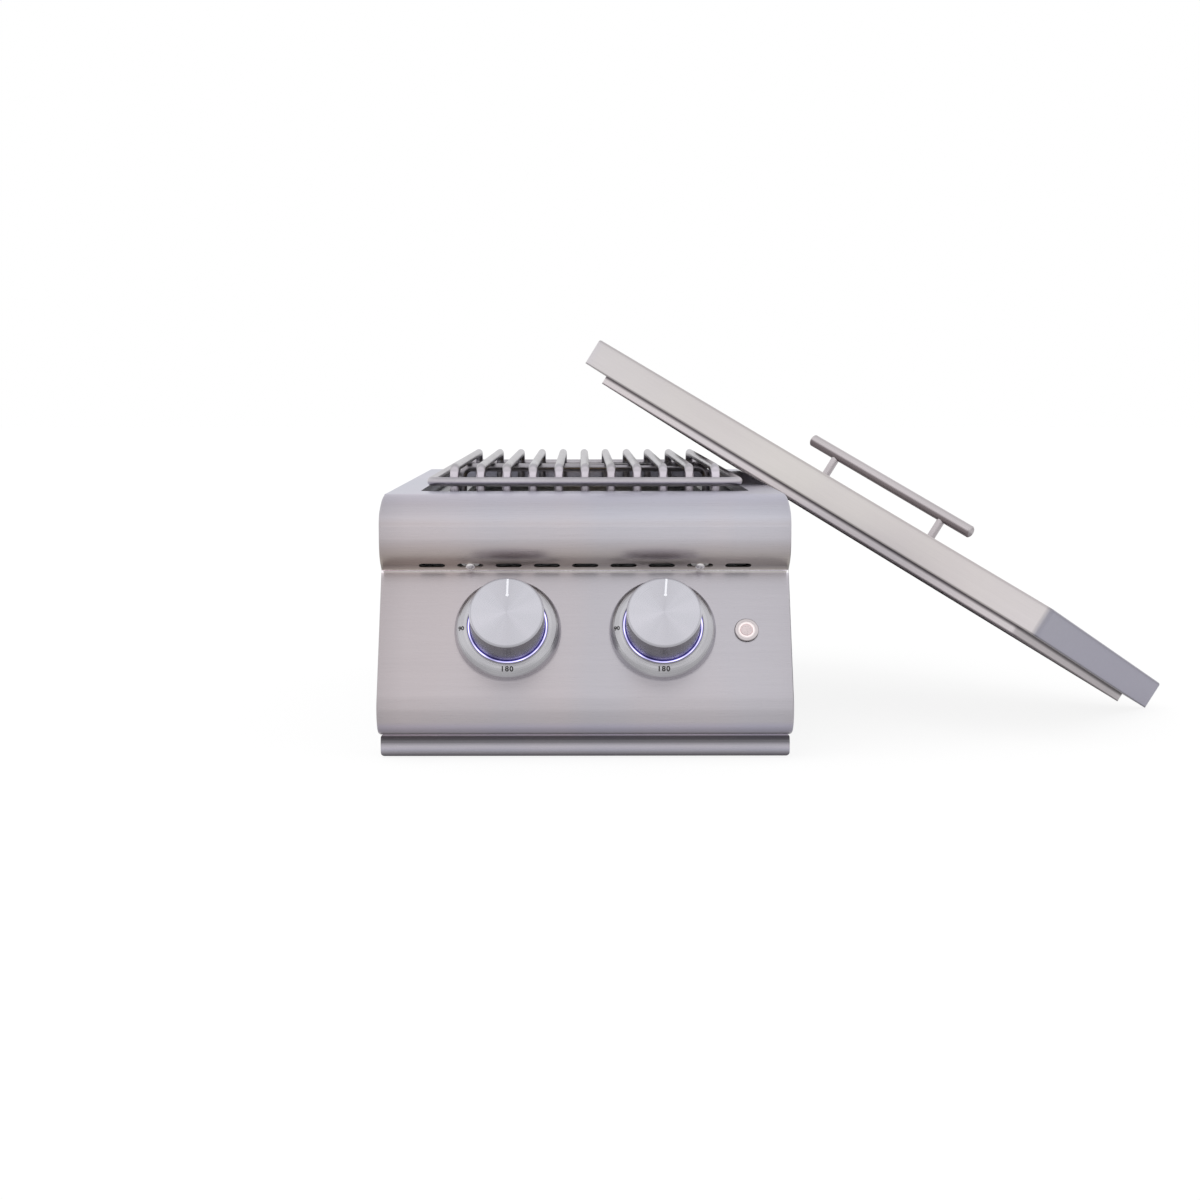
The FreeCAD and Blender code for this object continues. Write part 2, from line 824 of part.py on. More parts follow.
def valve_body(side):
    # Cast body with its bonnet, the inlet stub on the manifold and the outlet spud
    half = valve_size / 2
    place = panel_place(knob_xs[side], knob_drop_along_panel)
    cast = rounded_plate(-half, half, -half, half, -valve_rear_depth, -valve_front_depth, valve_corner)
    bonnet = upright(bonnet_radius, -valve_front_depth, -bonnet_front_depth)
    stub = cylinder(Vector(0, 0, -manifold_depth), Vector(0, -1, 0), inlet_stub_radius, manifold_drop)
    local = joined([cast, bonnet, stub])
    shape = moved(local, place)
    spud_end = front_y + spud_setback
    spud_start = Vector(knob_xs[side], outlet_point.y, outlet_z)
    spud = cylinder(spud_start, Vector(0, 1, 0), spud_radius, spud_end - outlet_point.y)
    shape = shape.fuse(spud)
    core_bore = upright(core_radius + turning_fit, -core_rear_depth - core_end_gap,
                        -core_front_depth + core_end_gap)
    stem_bore = upright(stem_radius + sliding_fit, -core_front_depth, -bonnet_front_depth)
    pipe = manifold_cutter()
    shape = shape.cut(moved(core_bore, place)).cut(moved(stem_bore, place)).cut(pipe)
    jet_seat = cylinder(Vector(knob_xs[side], spud_end - orifice_thread_length, outlet_z), Vector(0, 1, 0),
                        orifice_thread_radius, orifice_thread_length)
    gas_way = cylinder(spud_start, Vector(0, 1, 0), gas_way_radius, spud_end - outlet_point.y)
    return shape.cut(jet_seat).cut(gas_way).removeSplitter()


def manifold_cutter():
    start = Vector(-manifold_half_length - 1, manifold_centre.y, manifold_centre.z)
    return cylinder(start, Vector(1, 0, 0), manifold_radius, 2 * manifold_half_length + 2)


def orifice(side):
    x = knob_xs[side]
    base = front_y + spud_setback
    start = Vector(x, base - orifice_thread_length, outlet_z)
    shank = cylinder(start, Vector(0, 1, 0), orifice_thread_radius, orifice_thread_length)
    tip = cylinder(Vector(x, base, outlet_z), Vector(0, 1, 0), orifice_radius, orifice_length)
    bore = cylinder(start, Vector(0, 1, 0), orifice_bore, orifice_thread_length + orifice_length)
    return joined([shank, tip]).cut(bore)


def manifold_pipe():
    y, z = manifold_centre.y, manifold_centre.z
    length = 2 * manifold_half_length
    start = Vector(-manifold_half_length, y, z)
    pipe = cylinder(start, Vector(1, 0, 0), manifold_radius, length)
    pipe = pipe.cut(cylinder(start, Vector(1, 0, 0), supply_radius + sliding_fit, length - manifold_end_wall))
    up_panel = panel_place(0, 0).Rotation.multVec(Vector(0, 1, 0))
    for x in knob_xs.values():
        pipe = pipe.cut(cylinder(Vector(x, y, z), up_panel, gas_way_radius, 2 * manifold_radius))
    return pipe


def supply_tube():
    y, z = manifold_centre.y, manifold_centre.z
    path = [Vector(supply_x, rear_y, z), Vector(supply_x, y, z),
            Vector(-manifold_half_length + manifold_overlap, y, z)]
    return bent_tube(path, supply_bend, supply_radius, supply_wall)


def gas_inlet():
    # Hexagon flange outside the rear wall with the male connection thread behind it
    turned = Rotation(Vector(1, 0, 0), -90)
    place = Placement(Vector(supply_x, rear_y, manifold_z), turned)
    nut = hexagon(inlet_hex_radius, 0, inlet_hex_length)
    length = inlet_hex_length + inlet_thread_length
    thread = upright(inlet_thread_radius, inlet_hex_length, length)
    bore = upright(inlet_bore_radius, 0, length)
    return moved(joined([nut, thread]).cut(bore), place)


def burner_tube(name):
    x = knob_xs[burner_sides[name]]
    y = burner_ys[name]
    path = [Vector(x, mouth_y, outlet_z), Vector(x, y, outlet_z), Vector(0, y, outlet_z),
            Vector(0, y, pot_bottom + pot_wall)]
    return bent_tube(path, tube_bend, tube_radius, tube_wall).cut(air_windows(x))


def air_windows(x):
    middle = mouth_y + shutter_length / 2
    half_length = air_window_length / 2
    half = air_window_width / 2
    reach = 2 * tube_radius
    return block(x - reach, x + reach, middle - half_length, middle + half_length,
                 outlet_z - half, outlet_z + half)


def air_shutter(name):
    x = knob_xs[burner_sides[name]]
    start = Vector(x, mouth_y, outlet_z)
    inner = tube_radius + shutter_fit
    sleeve = cylinder(start, Vector(0, 1, 0), inner + shutter_wall, shutter_length)
    sleeve = sleeve.cut(cylinder(start, Vector(0, 1, 0), inner, shutter_length))
    sleeve = sleeve.cut(air_windows(x))
    screw = cylinder(start + Vector(0, shutter_screw_setback, inner + shutter_wall), Vector(0, 0, 1),
                     shutter_screw_radius, shutter_screw_radius)
    return Part.makeCompound([sleeve, screw])


def burner_pot(name):
    inner = pot_radius - pot_wall
    cup = revolved([(tube_radius, 0), (pot_radius, 0), (pot_radius, pot_height), (inner, pot_height),
                    (inner, pot_wall), (tube_radius, pot_wall)])
    return moved(cup, Placement(Vector(0, burner_ys[name], pot_bottom), Rotation()))


def burner_head(name):
    # Ported cap: a short skirt inside the pot, the port ring and a shallow dome
    skirt = pot_radius - pot_wall - head_fit
    inner = skirt - head_wall
    top = head_height
    shoulder = head_radius / 2
    shoulder_rise = top + head_dome * 0.75
    outline = [(inner, -head_skirt), (skirt, -head_skirt), (skirt, 0), (head_radius, 0),
               (head_radius, top - head_wall), (head_radius - head_wall, top), (shoulder, shoulder_rise),
               (0, top + head_dome), (0, top + head_dome - head_wall), (shoulder, shoulder_rise - head_wall),
               (inner, top - head_wall)]
    head = revolved(outline)
    for number in range(port_count):
        turn = Rotation(Vector(0, 0, 1), 360 * number / port_count)
        direction = turn.multVec(Vector(1, 0, 0))
        start = direction * shoulder + Vector(0, 0, (top - head_wall) / 2)
        head = head.cut(cylinder(start, direction, port_radius, head_radius))
    return moved(head, Placement(Vector(0, burner_ys[name], pot_bottom + pot_height), Rotation()))


def burner_bracket(name):
    y = burner_ys[name]
    half = bracket_width / 2
    bar = block(-inner_half, inner_half, y - half, y + half, pot_bottom - bracket_thickness, pot_bottom)
    for side in (-1, 1):
        edge = side * inner_half
        low_x, high_x = sorted((edge, edge - side * bracket_thickness))
        bar = bar.fuse(block(low_x, high_x, y - half, y + half, pot_bottom - bracket_width / 2, pot_bottom))
    for x, radius in ((0, tube_radius + pipe_hole_fit), (electrode_offset, ceramic_radius)):
        hole = upright(radius, -2 * bracket_thickness, bracket_thickness)
        hole.translate(Vector(x, y, pot_bottom))
        bar = bar.cut(hole)
    return bar.removeSplitter()


def burner_screws():
    screws = []
    for y in burner_ys.values():
        for x in (-burner_screw_offset, burner_screw_offset):
            low = pot_bottom - bracket_thickness
            screws.append(cylinder(Vector(x, y, low - burner_screw_height), Vector(0, 0, 1),
                                   burner_screw_radius, burner_screw_height))
    return screws


def electrode(name):
    # Ceramic sleeve through the bracket with a steel pin that points at the ports
    y = burner_ys[name]
    top = pot_bottom + pot_height - ceramic_top_drop
    foot = Vector(electrode_offset, y, ceramic_foot_z)
    ceramic = cylinder(foot, Vector(0, 0, 1), ceramic_radius, top - foot.z)
    pin_z = top + pin_rise
    pin = bent_rod([Vector(electrode_offset, y, top), Vector(electrode_offset, y, pin_z),
                    Vector(head_radius + spark_gap, y, pin_z)], pin_bend, pin_radius)
    return Part.makeCompound([ceramic, pin])


def igniter_lead(name):
    x = lead_xs[name]
    y = burner_ys[name]
    run_z = pot_bottom - lead_drop
    path = [Vector(x, front_y, lead_z), Vector(x, shield_y + 14, lead_z),
            Vector(x, shield_y + 34, run_z), Vector(x, y, run_z),
            Vector(electrode_offset, y, run_z), Vector(electrode_offset, y, ceramic_foot_z)]
    return bent_rod(path, lead_bend, lead_radius)


def igniter_module():
    x = module_x
    high = top_z - module_top_drop
    return rounded_plate(x - module_width / 2, x + module_width / 2, front_y - module_depth, front_y,
                         high - module_height, high, module_corner)


def power_jack():
    turned = Rotation(Vector(1, 0, 0), -90)
    place = Placement(Vector(jack_x, rear_y, manifold_z), turned)
    barrel = upright(jack_barrel_radius, -jack_barrel_length, 0)
    flange = upright(jack_flange_radius, 0, jack_flange_length)
    bore = upright(jack_bore_radius, jack_flange_length - jack_bore_length, jack_flange_length)
    return moved(joined([barrel, flange]).cut(bore), place)


def light_wire():
    # From the rear socket along the right wall and through the front wall's window to the module
    z = manifold_z
    x = harness_x
    rise_z = z + light_wire_rise
    middle_y = front_y - module_depth / 2
    start_y = rear_y - jack_barrel_length
    path = [Vector(jack_x, start_y, z), Vector(jack_x, start_y - 20, z),
            Vector(x, start_y - 40, z), Vector(x, shield_y - 14, z),
            Vector(module_x, shield_y - 30, rise_z), Vector(module_x, middle_y, rise_z),
            Vector(module_x, middle_y, top_z - module_top_drop - module_height)]
    return bent_rod(path, light_wire_bend, lead_radius)


def button_housing():
    edge = button_flange_radius - button_edge
    flange = revolved([(button_light_outer, 0), (button_flange_radius, 0),
                       (button_flange_radius, button_flange_height - button_edge),
                       (edge, button_flange_height), (button_light_outer, button_flange_height)])
    barrel = upright(button_barrel_radius, -button_barrel_depth, 0)
    well = upright(button_cap_radius + button_cap_fit, -button_cap_depth - 2 * button_travel,
                   button_flange_height)
    seat = upright(button_light_outer, -button_light_depth, button_flange_height)
    return joined([flange, barrel]).cut(well).cut(seat)


def button_light():
    return tube(button_light_outer, button_light_inner, -button_light_depth, button_light_rise)


def button_cap():
    return revolved([(0, -button_cap_depth), (button_cap_radius, -button_cap_depth),
                     (button_cap_radius, button_cap_rise - button_cap_edge),
                     (button_cap_radius - button_cap_edge, button_cap_rise),
                     (0, button_cap_rise + button_cap_crown)])


def button_nut():
    nut = hexagon(button_nut_radius, -sheet - button_nut_height, -sheet)
    return nut.cut(upright(button_barrel_radius, -button_barrel_depth, 0))


def pan_head(radius, rise):
    # A domed screw head with a cross recess, standing on local Z = 0
    steps = 6
    outline = [(0, 0), (radius, 0), (radius, 0.3 * rise)]
    for step in range(1, steps + 1):
        angle = math.pi / 2 * step / steps
        outline.append((radius * math.cos(angle), rise * (0.3 + 0.7 * math.sin(angle))))
    head = revolved(outline[:-1] + [(0, rise)])
    for long_x, long_y in ((0.55, 0.13), (0.13, 0.55)):
        head = head.cut(block(-long_x * radius, long_x * radius, -long_y * radius, long_y * radius,
                              0.5 * rise, 2 * rise))
    return head


def fascia_screws():
    screws = []
    for number in screwed_slots:
        shank = upright(fascia_screw_shank, -fascia_screw_length, 0)
        head = pan_head(fascia_screw_head, fascia_screw_rise)
        screws.append(moved(joined([shank, head]), slot_place(slot_x(number))))
    return Part.makeCompound(screws)


def fascia_washers():
    # Flat washers behind the slots, their rims on the hollow side of the chin
    washers = []
    inside_radius = chin_radius - sheet
    seat = math.sqrt(inside_radius ** 2 - washer_radius ** 2) - chin_radius - washer_fit
    for number in screwed_slots:
        washer = tube(washer_radius, fascia_screw_shank, seat - washer_thickness, seat)
        washers.append(moved(washer, slot_place(slot_x(number))))
    return Part.makeCompound(washers)


def casing_screws():
    screws = []
    for side in (-1, 1):
        turned = Rotation(Vector(0, 1, 0), 90 * side)
        for row in range(casing_screw_rows):
            spacing = (casing_depth - 2 * casing_screw_margin) / (casing_screw_rows - 1)
            y = front_y + casing_screw_margin + row * spacing
            place = Placement(Vector(side * half_casing, y, casing_screw_height), turned)
            screws.append(moved(pan_head(casing_screw_radius, casing_screw_rise), place))
    turned = Rotation(Vector(1, 0, 0), -90)
    for x in (-half_casing + rear_screw_margin, half_casing - rear_screw_margin):
        for z in (casing_screw_height, top_z - rear_screw_drop):
            place = Placement(Vector(x, rear_y, z), turned)
            screws.append(moved(pan_head(casing_screw_radius, casing_screw_rise), place))
    return screws


# Drip tray and its runners
tray_z = sheet + tray_slide_gap
tray_front_y = front_y - tray_front_setback
half_tray = inner_half - runner_width - tray_slide_gap
tray_rear_y = rear_y - tray_rear_gap


def drip_tray():
    half = half_tray
    back = tray_rear_y
    start = tray_front_y + tray_front_thickness
    pan = block(-half, half, start, back, tray_z, tray_z + tray_height)
    hollow = block(-half + tray_wall, half - tray_wall, start + tray_wall, back - tray_wall,
                   tray_z + tray_wall, tray_z + tray_height + 1)
    rim_z = tray_z + tray_height
    reach = half + tray_lip
    lips = block(-reach, reach, front_y + tray_lip_setback, back, rim_z - tray_wall, rim_z)
    lips = lips.cut(block(-half + tray_wall, half - tray_wall, start, back - tray_wall,
                          rim_z - 2 * tray_wall, rim_z + tray_wall))
    return pan.cut(hollow).fuse(lips).removeSplitter()


def tray_runners():
    # Steps of folded sheet beside the pan, under its lips
    runners = []
    reach = half_tray + tray_slide_gap
    top = tray_z + tray_height - tray_wall - tray_slide_gap
    for side in (-1, 1):
        low_x, high_x = sorted((side * reach, side * inner_half))
        step = block(low_x, high_x, front_y + sheet, rear_y - sheet, sheet, top)
        inner_low, inner_high = sorted((side * (reach + sheet), side * (inner_half + 1)))
        step = step.cut(block(inner_low, inner_high, front_y, rear_y, 0, top - sheet))
        runners.append(step)
    return Part.makeCompound(runners)


def tray_front():
    # Shallow bowed strip across the whole front
    half = half_width - tray_front_inset
    low = tray_floor_gap
    high = low + tray_front_height
    middle = (low + high) / 2
    face_y = tray_front_y
    bow = Part.Arc(Vector(0, face_y + tray_front_crown, high), Vector(0, face_y, middle),
                   Vector(0, face_y + tray_front_crown, low)).toShape()
    back = face_y + tray_front_thickness
    strip = across(chained([bow, Vector(0, back, low), Vector(0, back, high)]), -half, half)
    corners = []
    for edge in strip.Edges:
        points = [edge.valueAt(edge.FirstParameter), edge.valueAt(edge.LastParameter)]
        at_end = all(abs(abs(point.x) - half) < 1e-6 for point in points)
        along_y = abs(points[0].y - points[1].y) > 1 and abs(points[0].z - points[1].z) < 1e-6
        if at_end and along_y:
            corners.append(edge)
    return strip.makeFillet(tray_front_corner, corners)


# The cover is drawn lying flat, then leaned against the right-hand edge of the top
def shell_block(inset, low):
    high = cover_height - inset
    plate = rounded_plate(inset, cover_length - inset, inset, cover_width - inset, low, high,
                          cover_corner - inset)
    top_edges = [edge for edge in plate.Edges
                 if all(abs(vertex.Z - high) < 1e-6 for vertex in edge.Vertexes)]
    return plate.makeFillet(cover_edge - inset, top_edges)


def cover_shell():
    # Folded pan with a hem turned in all round its lower edge
    return shell_block(0, 0).cut(shell_block(sheet, sheet)).cut(rim_plate(rim_sheet, -1, 2 * sheet))


def rim_plate(inset, low, high):
    x0 = rim_end_inset + inset
    y0 = rim_side_inset + inset
    return rounded_plate(x0, cover_length - x0, y0, cover_width - y0, low, high, rim_corner - inset)


def cover_rim():
    return rim_plate(0, -rim_drop, 0).cut(rim_plate(rim_sheet, -rim_drop - 1, 1))


def handle_bar():
    start = Vector((cover_length - handle_length) / 2, cover_width / 2, cover_height + handle_height)
    bar = cylinder(start, Vector(1, 0, 0), handle_radius, handle_length)
    return bar.makeChamfer(handle_chamfer, [edge for edge in bar.Edges if len(edge.Vertexes) == 1])


def handle_posts():
    posts = []
    for side in (-1, 1):
        x = cover_length / 2 + side * post_spacing / 2
        base = Vector(x, cover_width / 2, cover_height)
        post = cylinder(base, Vector(0, 0, 1), post_radius, handle_height)
        foot = cylinder(base, Vector(0, 0, 1), post_foot_radius, post_foot_height)
        bar_hole = cylinder(Vector(x - 2 * post_radius, cover_width / 2, cover_height + handle_height),
                            Vector(1, 0, 0), handle_radius, 4 * post_radius)
        posts.append(joined([post, foot]).cut(bar_hole))
    return Part.makeCompound(posts)


def cover_screws():
    screws = []
    for side in (-1, 1):
        x = cover_length / 2 + side * post_spacing / 2
        head = pan_head(cover_screw_radius, cover_screw_height)
        place = Placement(Vector(x, cover_width / 2, cover_height - sheet), Rotation(Vector(1, 0, 0), 180))
        screws.append(moved(head, place))
    return Part.makeCompound(screws)


def cover_place():
    lean = math.radians(cover_lean)
    turn = math.radians(cover_turn)
    facing = Rotation(Vector(0, 1, 0), cover_lean).multiply(Rotation(Vector(0, 0, 1), -cover_turn))
    along = facing.multVec(Vector(1, 0, 0))
    across_cover = facing.multVec(Vector(0, 1, 0))
    normal = facing.multVec(Vector(0, 0, 1))
    # The lowest point is on the rounded corner at the far end of the cover's lower edge
    down_length = (cover_length - cover_corner) * math.cos(turn)
    down_width = (cover_width - cover_corner) * math.sin(turn)
    drop = math.sin(lean) * (down_length + down_width + cover_corner)
    base_z = drop + cover_gap
    corner = along * cover_length + across_cover * cover_width
    base_y = front_y + cover_corner_setback - corner.y
    # The rim's lower edge lies just clear of the body's rounded top edge
    support = Vector(half_width - top_edge_round, 0, top_z - top_edge_round)
    plane = normal.dot(support) + top_edge_round + cover_gap + rim_drop
    base_x = (plane - normal.z * base_z) / normal.x
    return Placement(Vector(base_x, base_y, base_z), facing)


def write_body():
    save("top_frame", top_frame())
    save("front_bullnose", bullnose())
    save("control_panel", control_panel())
    cap = end_cap()
    save("end_cap_right", cap)
    save("end_cap_left", mirrored(cap))
    save("casing_right", casing_side())
    save("casing_left", mirrored(casing_side()))
    save("casing_front", casing_front())
    save("casing_rear", casing_rear())
    save("casing_floor", casing_floor())
    save("heat_shield", heat_shield())
    save("grate_ledge", grate_ledge())
    save("fascia_screws", fascia_screws())
    save("fascia_washers", fascia_washers())
    save("screws", Part.makeCompound(casing_screws() + burner_screws()))


def write_gas_train():
    save("manifold_pipe", manifold_pipe())
    save("supply_tube", supply_tube())
    save("gas_inlet", gas_inlet())
    save("orifices", Part.makeCompound([orifice(side) for side in knob_xs]))
    for name in burner_ys:
        save(name + "_burner_pot", burner_pot(name))
        save(name + "_burner_head", burner_head(name))
        save(name + "_burner_tube", burner_tube(name))
    save("air_shutters", Part.makeCompound([air_shutter(name) for name in burner_ys]))
    save("burner_brackets", Part.makeCompound([burner_bracket(name) for name in burner_ys]))
    save("igniter_electrodes", Part.makeCompound([electrode(name) for name in burner_ys]))
    save("igniter_module", igniter_module())


def write_controls():
    for side, x in knob_xs.items():
        place = panel_place(x, knob_drop_along_panel)
        save("bezel_" + side, moved(bezel(), place))
        save("light_ring_" + side, moved(light_ring(), place))
        save("knob_" + side, moved(knob(), place))
        turned = panel_place(x, knob_drop_along_panel, pointer_turns[side])
        save("knob_pointer_" + side, moved(knob_pointer(), turned))
        save("valve_stem_" + side, moved(valve_stem(), place))
        save("valve_core_" + side, moved(valve_core(), place))
        save("valve_body_" + side, valve_body(side))
    place = panel_place(button_x, knob_drop_along_panel)
    save("button_housing", moved(button_housing(), place))
    save("button_light", moved(button_light(), place))
    save("button_cap", moved(button_cap(), place))
    save("button_nut", moved(button_nut(), place))
    save("power_jack", power_jack())
    save("wiring", Part.makeCompound([igniter_lead(name) for name in burner_ys] + [light_wire()]))


def write_tray_and_grate():
    save("drip_tray", drip_tray())
    save("drip_tray_front", tray_front())
    save("tray_runners", tray_runners())
    save("grate_bars", grate_bars())
    save("grate_ring", grate_ring())
    save("grate_cross_rod", cross_rod())


def write_cover():
    place = cover_place()
    save("cover_shell", moved(cover_shell(), place))
    save("cover_rim", moved(cover_rim(), place))
    save("cover_handle_bar", moved(handle_bar(), place))
    save("cover_handle_posts", moved(handle_posts(), place))
    save("cover_screws", moved(cover_screws(), place))


write_body()
write_gas_train()
write_controls()
write_tray_and_grate()
write_cover()
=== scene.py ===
import json
from math import atan2, radians

import bmesh
import bpy
from mathutils import Matrix, Vector
from mathutils.bvhtree import BVHTree


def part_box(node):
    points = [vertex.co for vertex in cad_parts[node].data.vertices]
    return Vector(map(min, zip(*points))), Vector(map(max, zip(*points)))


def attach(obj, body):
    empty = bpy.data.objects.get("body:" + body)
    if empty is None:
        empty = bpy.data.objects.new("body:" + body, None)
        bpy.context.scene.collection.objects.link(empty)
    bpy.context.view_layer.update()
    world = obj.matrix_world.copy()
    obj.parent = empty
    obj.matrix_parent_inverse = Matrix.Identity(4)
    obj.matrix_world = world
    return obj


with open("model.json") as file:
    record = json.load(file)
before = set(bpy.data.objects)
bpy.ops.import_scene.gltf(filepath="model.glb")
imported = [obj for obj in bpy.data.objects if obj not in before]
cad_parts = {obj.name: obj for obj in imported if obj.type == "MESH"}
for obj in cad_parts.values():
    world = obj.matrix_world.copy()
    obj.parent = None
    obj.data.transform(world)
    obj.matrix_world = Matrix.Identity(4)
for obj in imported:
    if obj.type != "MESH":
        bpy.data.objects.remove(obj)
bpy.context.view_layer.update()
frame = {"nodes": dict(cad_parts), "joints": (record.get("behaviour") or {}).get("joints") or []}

nodes = frame["nodes"]
joints = {joint["name"]: joint for joint in frame["joints"]}
print("side burner: frame loaded with", len(nodes), "nodes")


# Camera, as the photograph was taken
cameraLook = {"lens": 66.0, "place": (-0.003, -2.174, 0.3068), "down": 5.49, "swing": -0.48}


def makeCamera(look):
    data = bpy.data.cameras.new("photoCamera")
    data.sensor_width = 36.0
    data.lens = look["lens"]
    camera = bpy.data.objects.new("photoCamera", data)
    camera.location = look["place"]
    camera.rotation_euler = (radians(90 - look["down"]), 0, radians(look["swing"]))
    bpy.context.scene.collection.objects.link(camera)
    bpy.context.scene.camera = camera


makeCamera(cameraLook)
bpy.context.scene.view_settings.view_transform = "Standard"


# Small helpers for node materials; each pair is the part of a noise that is spread over a range of tones
spans = {"fine": (0.3, 0.7), "wide": (0.2, 0.8), "cloud": (0.38, 0.62), "wedge": (0.32, 0.68),
         "lamp": (0.35, 0.65)}
bumpDepth = 0.0002
quarterTurn = 0.25


def addNode(tree, kind, values=None, **settings):
    added = tree.nodes.new("ShaderNode" + kind)
    for key, setting in settings.items():
        setattr(added, key, setting)
    for key, value in (values or {}).items():
        added.inputs[key].default_value = value
    return added


def join(tree, source, output, target, socket):
    tree.links.new(source.outputs[output], target.inputs[socket])


def startMaterial(name, look):
    made = bpy.data.materials.new(name)
    made.use_nodes = True
    tree = made.node_tree
    shader = tree.nodes["Principled BSDF"]
    shader.inputs["Metallic"].default_value = look.get("metallic", 1.0)
    shader.inputs["Roughness"].default_value = look["roughness"]
    made.diffuse_color = (*look["colour"], 1.0)
    return made, tree, shader


def turnedCoords(tree, place=(0, 0, 0), turn=(0, 0, 0)):
    # The object's own coordinates, seen from a frame that is placed and turned on it
    coords = addNode(tree, "TexCoord")
    mapping = addNode(tree, "Mapping", {"Location": place, "Rotation": turn}, vector_type="TEXTURE")
    join(tree, coords, "Object", mapping, "Vector")
    return mapping


def noiseOn(tree, source, stretch, detail=2.0, rough=0.5):
    mapping = addNode(tree, "Mapping", {"Scale": stretch})
    join(tree, source, 0, mapping, "Vector")
    noise = addNode(tree, "TexNoise", {"Scale": 1.0, "Detail": detail, "Roughness": rough})
    join(tree, mapping, "Vector", noise, "Vector")
    return noise


def mapped(tree, source, output, low, high, newLow, newHigh):
    ranged = addNode(tree, "MapRange", {"From Min": low, "From Max": high,
                                        "To Min": newLow, "To Max": newHigh})
    join(tree, source, output, ranged, "Value")
    return ranged


def blended(tree, factor, first, second, mode="MIX"):
    # first and second are a colour or a node's colour output
    mix = addNode(tree, "Mix", data_type="RGBA", blend_type=mode)
    if isinstance(factor, float):
        mix.inputs[0].default_value = factor
    else:
        tree.links.new(factor, mix.inputs[0])
    for slot, value in ((6, first), (7, second)):
        if isinstance(value, tuple):
            mix.inputs[slot].default_value = (*value, 1.0)
        else:
            tree.links.new(value, mix.inputs[slot])
    return mix


def toneRamp(tree, source, output, stops):
    # Tones given at places in metres, blended between them
    low, high = stops[0][0], stops[-1][0]
    share = mapped(tree, source, output, low, high, 0.0, 1.0)
    ramp = addNode(tree, "ValToRGB")
    elements = ramp.color_ramp.elements
    while len(elements) > 1:
        elements.remove(elements[-1])
    for place, tone in stops:
        spot = (place - low) / (high - low)
        element = elements[0] if place == low else elements.new(spot)
        element.position = spot
        element.color = (*(tone if isinstance(tone, tuple) else (tone,) * 3), 1.0)
    join(tree, share, 0, ramp, "Fac")
    return ramp.outputs["Color"]


def tangentFrom(tree, direction, shader):
    world = addNode(tree, "VectorTransform", vector_type="VECTOR", convert_from="OBJECT", convert_to="WORLD")
    join(tree, direction, "Vector", world, "Vector")
    join(tree, world, "Vector", shader, "Tangent")


def outFromAxis(tree, local):
    # The position taken apart, laid flat on the face, and its reach from the axis
    parts = addNode(tree, "SeparateXYZ")
    join(tree, local, "Vector", parts, "Vector")
    flat = addNode(tree, "CombineXYZ")
    join(tree, parts, "X", flat, "X")
    join(tree, parts, "Y", flat, "Y")
    reach = addNode(tree, "VectorMath", operation="LENGTH")
    join(tree, flat, "Vector", reach, 0)
    return parts, flat, reach


def brushedMetal(name, look):
    # Long fine scratches along the local X axis, soft clouds in the sheen, two close tones of grey; then
    # painted light and shade along the local axes, where the look lists them
    made, tree, shader = startMaterial(name, look)
    local = turnedCoords(tree, look.get("place", (0, 0, 0)), look.get("turn", (0, 0, 0)))
    grain = noiseOn(tree, local, look.get("grain", (30, 2400, 2400)), 3.0, 0.6)
    streak = noiseOn(tree, local, look.get("streak", (4, 260, 260)), 2.0)
    cloud = noiseOn(tree, local, look.get("cloud", (9, 3, 5)), 2.0)
    cloudShare = mapped(tree, cloud, "Fac", *spans["cloud"], 0.0, 1.0)
    tones = blended(tree, cloudShare.outputs[0], look["colour"], look["cloudColour"])
    contrast = look.get("contrast", 0.03)
    fine = mapped(tree, grain, "Fac", *spans["fine"], 1 - contrast, 1 + contrast)
    broad = mapped(tree, streak, "Fac", *spans["fine"], 0.988, 1.012)
    both = addNode(tree, "Math", operation="MULTIPLY")
    join(tree, fine, 0, both, 0)
    join(tree, broad, 0, both, 1)
    shaded = blended(tree, 1.0, tones.outputs[2], both.outputs[0], "MULTIPLY")
    # Painted light and shade: tone ramps along the local axes darken and brighten the colour
    if look.get("paintedShades"):
        parts = addNode(tree, "SeparateXYZ")
        join(tree, local, "Vector", parts, "Vector")
        for axis, stops in look["paintedShades"].items():
            tones = toneRamp(tree, parts, axis, stops)
            shaded = blended(tree, 1.0, shaded.outputs[2], tones, "MULTIPLY")
    tree.links.new(shaded.outputs[2], shader.inputs["Base Color"])
    rough = mapped(tree, grain, "Fac", *spans["wide"], look["roughness"] - 0.04, look["roughness"] + 0.05)
    join(tree, rough, 0, shader, "Roughness")
    bump = addNode(tree, "Bump", {"Strength": look.get("bump", 0.02), "Distance": bumpDepth})
    join(tree, grain, "Fac", bump, "Height")
    join(tree, bump, "Normal", shader, "Normal")
    if look.get("anisotropic"):
        shader.inputs["Anisotropic"].default_value = look["anisotropic"]
        shader.inputs["Anisotropic Rotation"].default_value = quarterTurn
        along = addNode(tree, "CombineXYZ", dict(zip("XYZ", look.get("along", (1, 0, 0)))))
        tangentFrom(tree, along, shader)
    return made


def dressNode(name, material):
    slots = nodes[name].material_slots
    for slot in slots:
        slot.material = material
    if not slots:
        nodes[name].data.materials.append(material)


def dressAll(looks, pieces, make):
    for name, look in looks.items():
        finish = make(name, look)
        for nodeName in pieces[name]:
            dressNode(nodeName, finish)


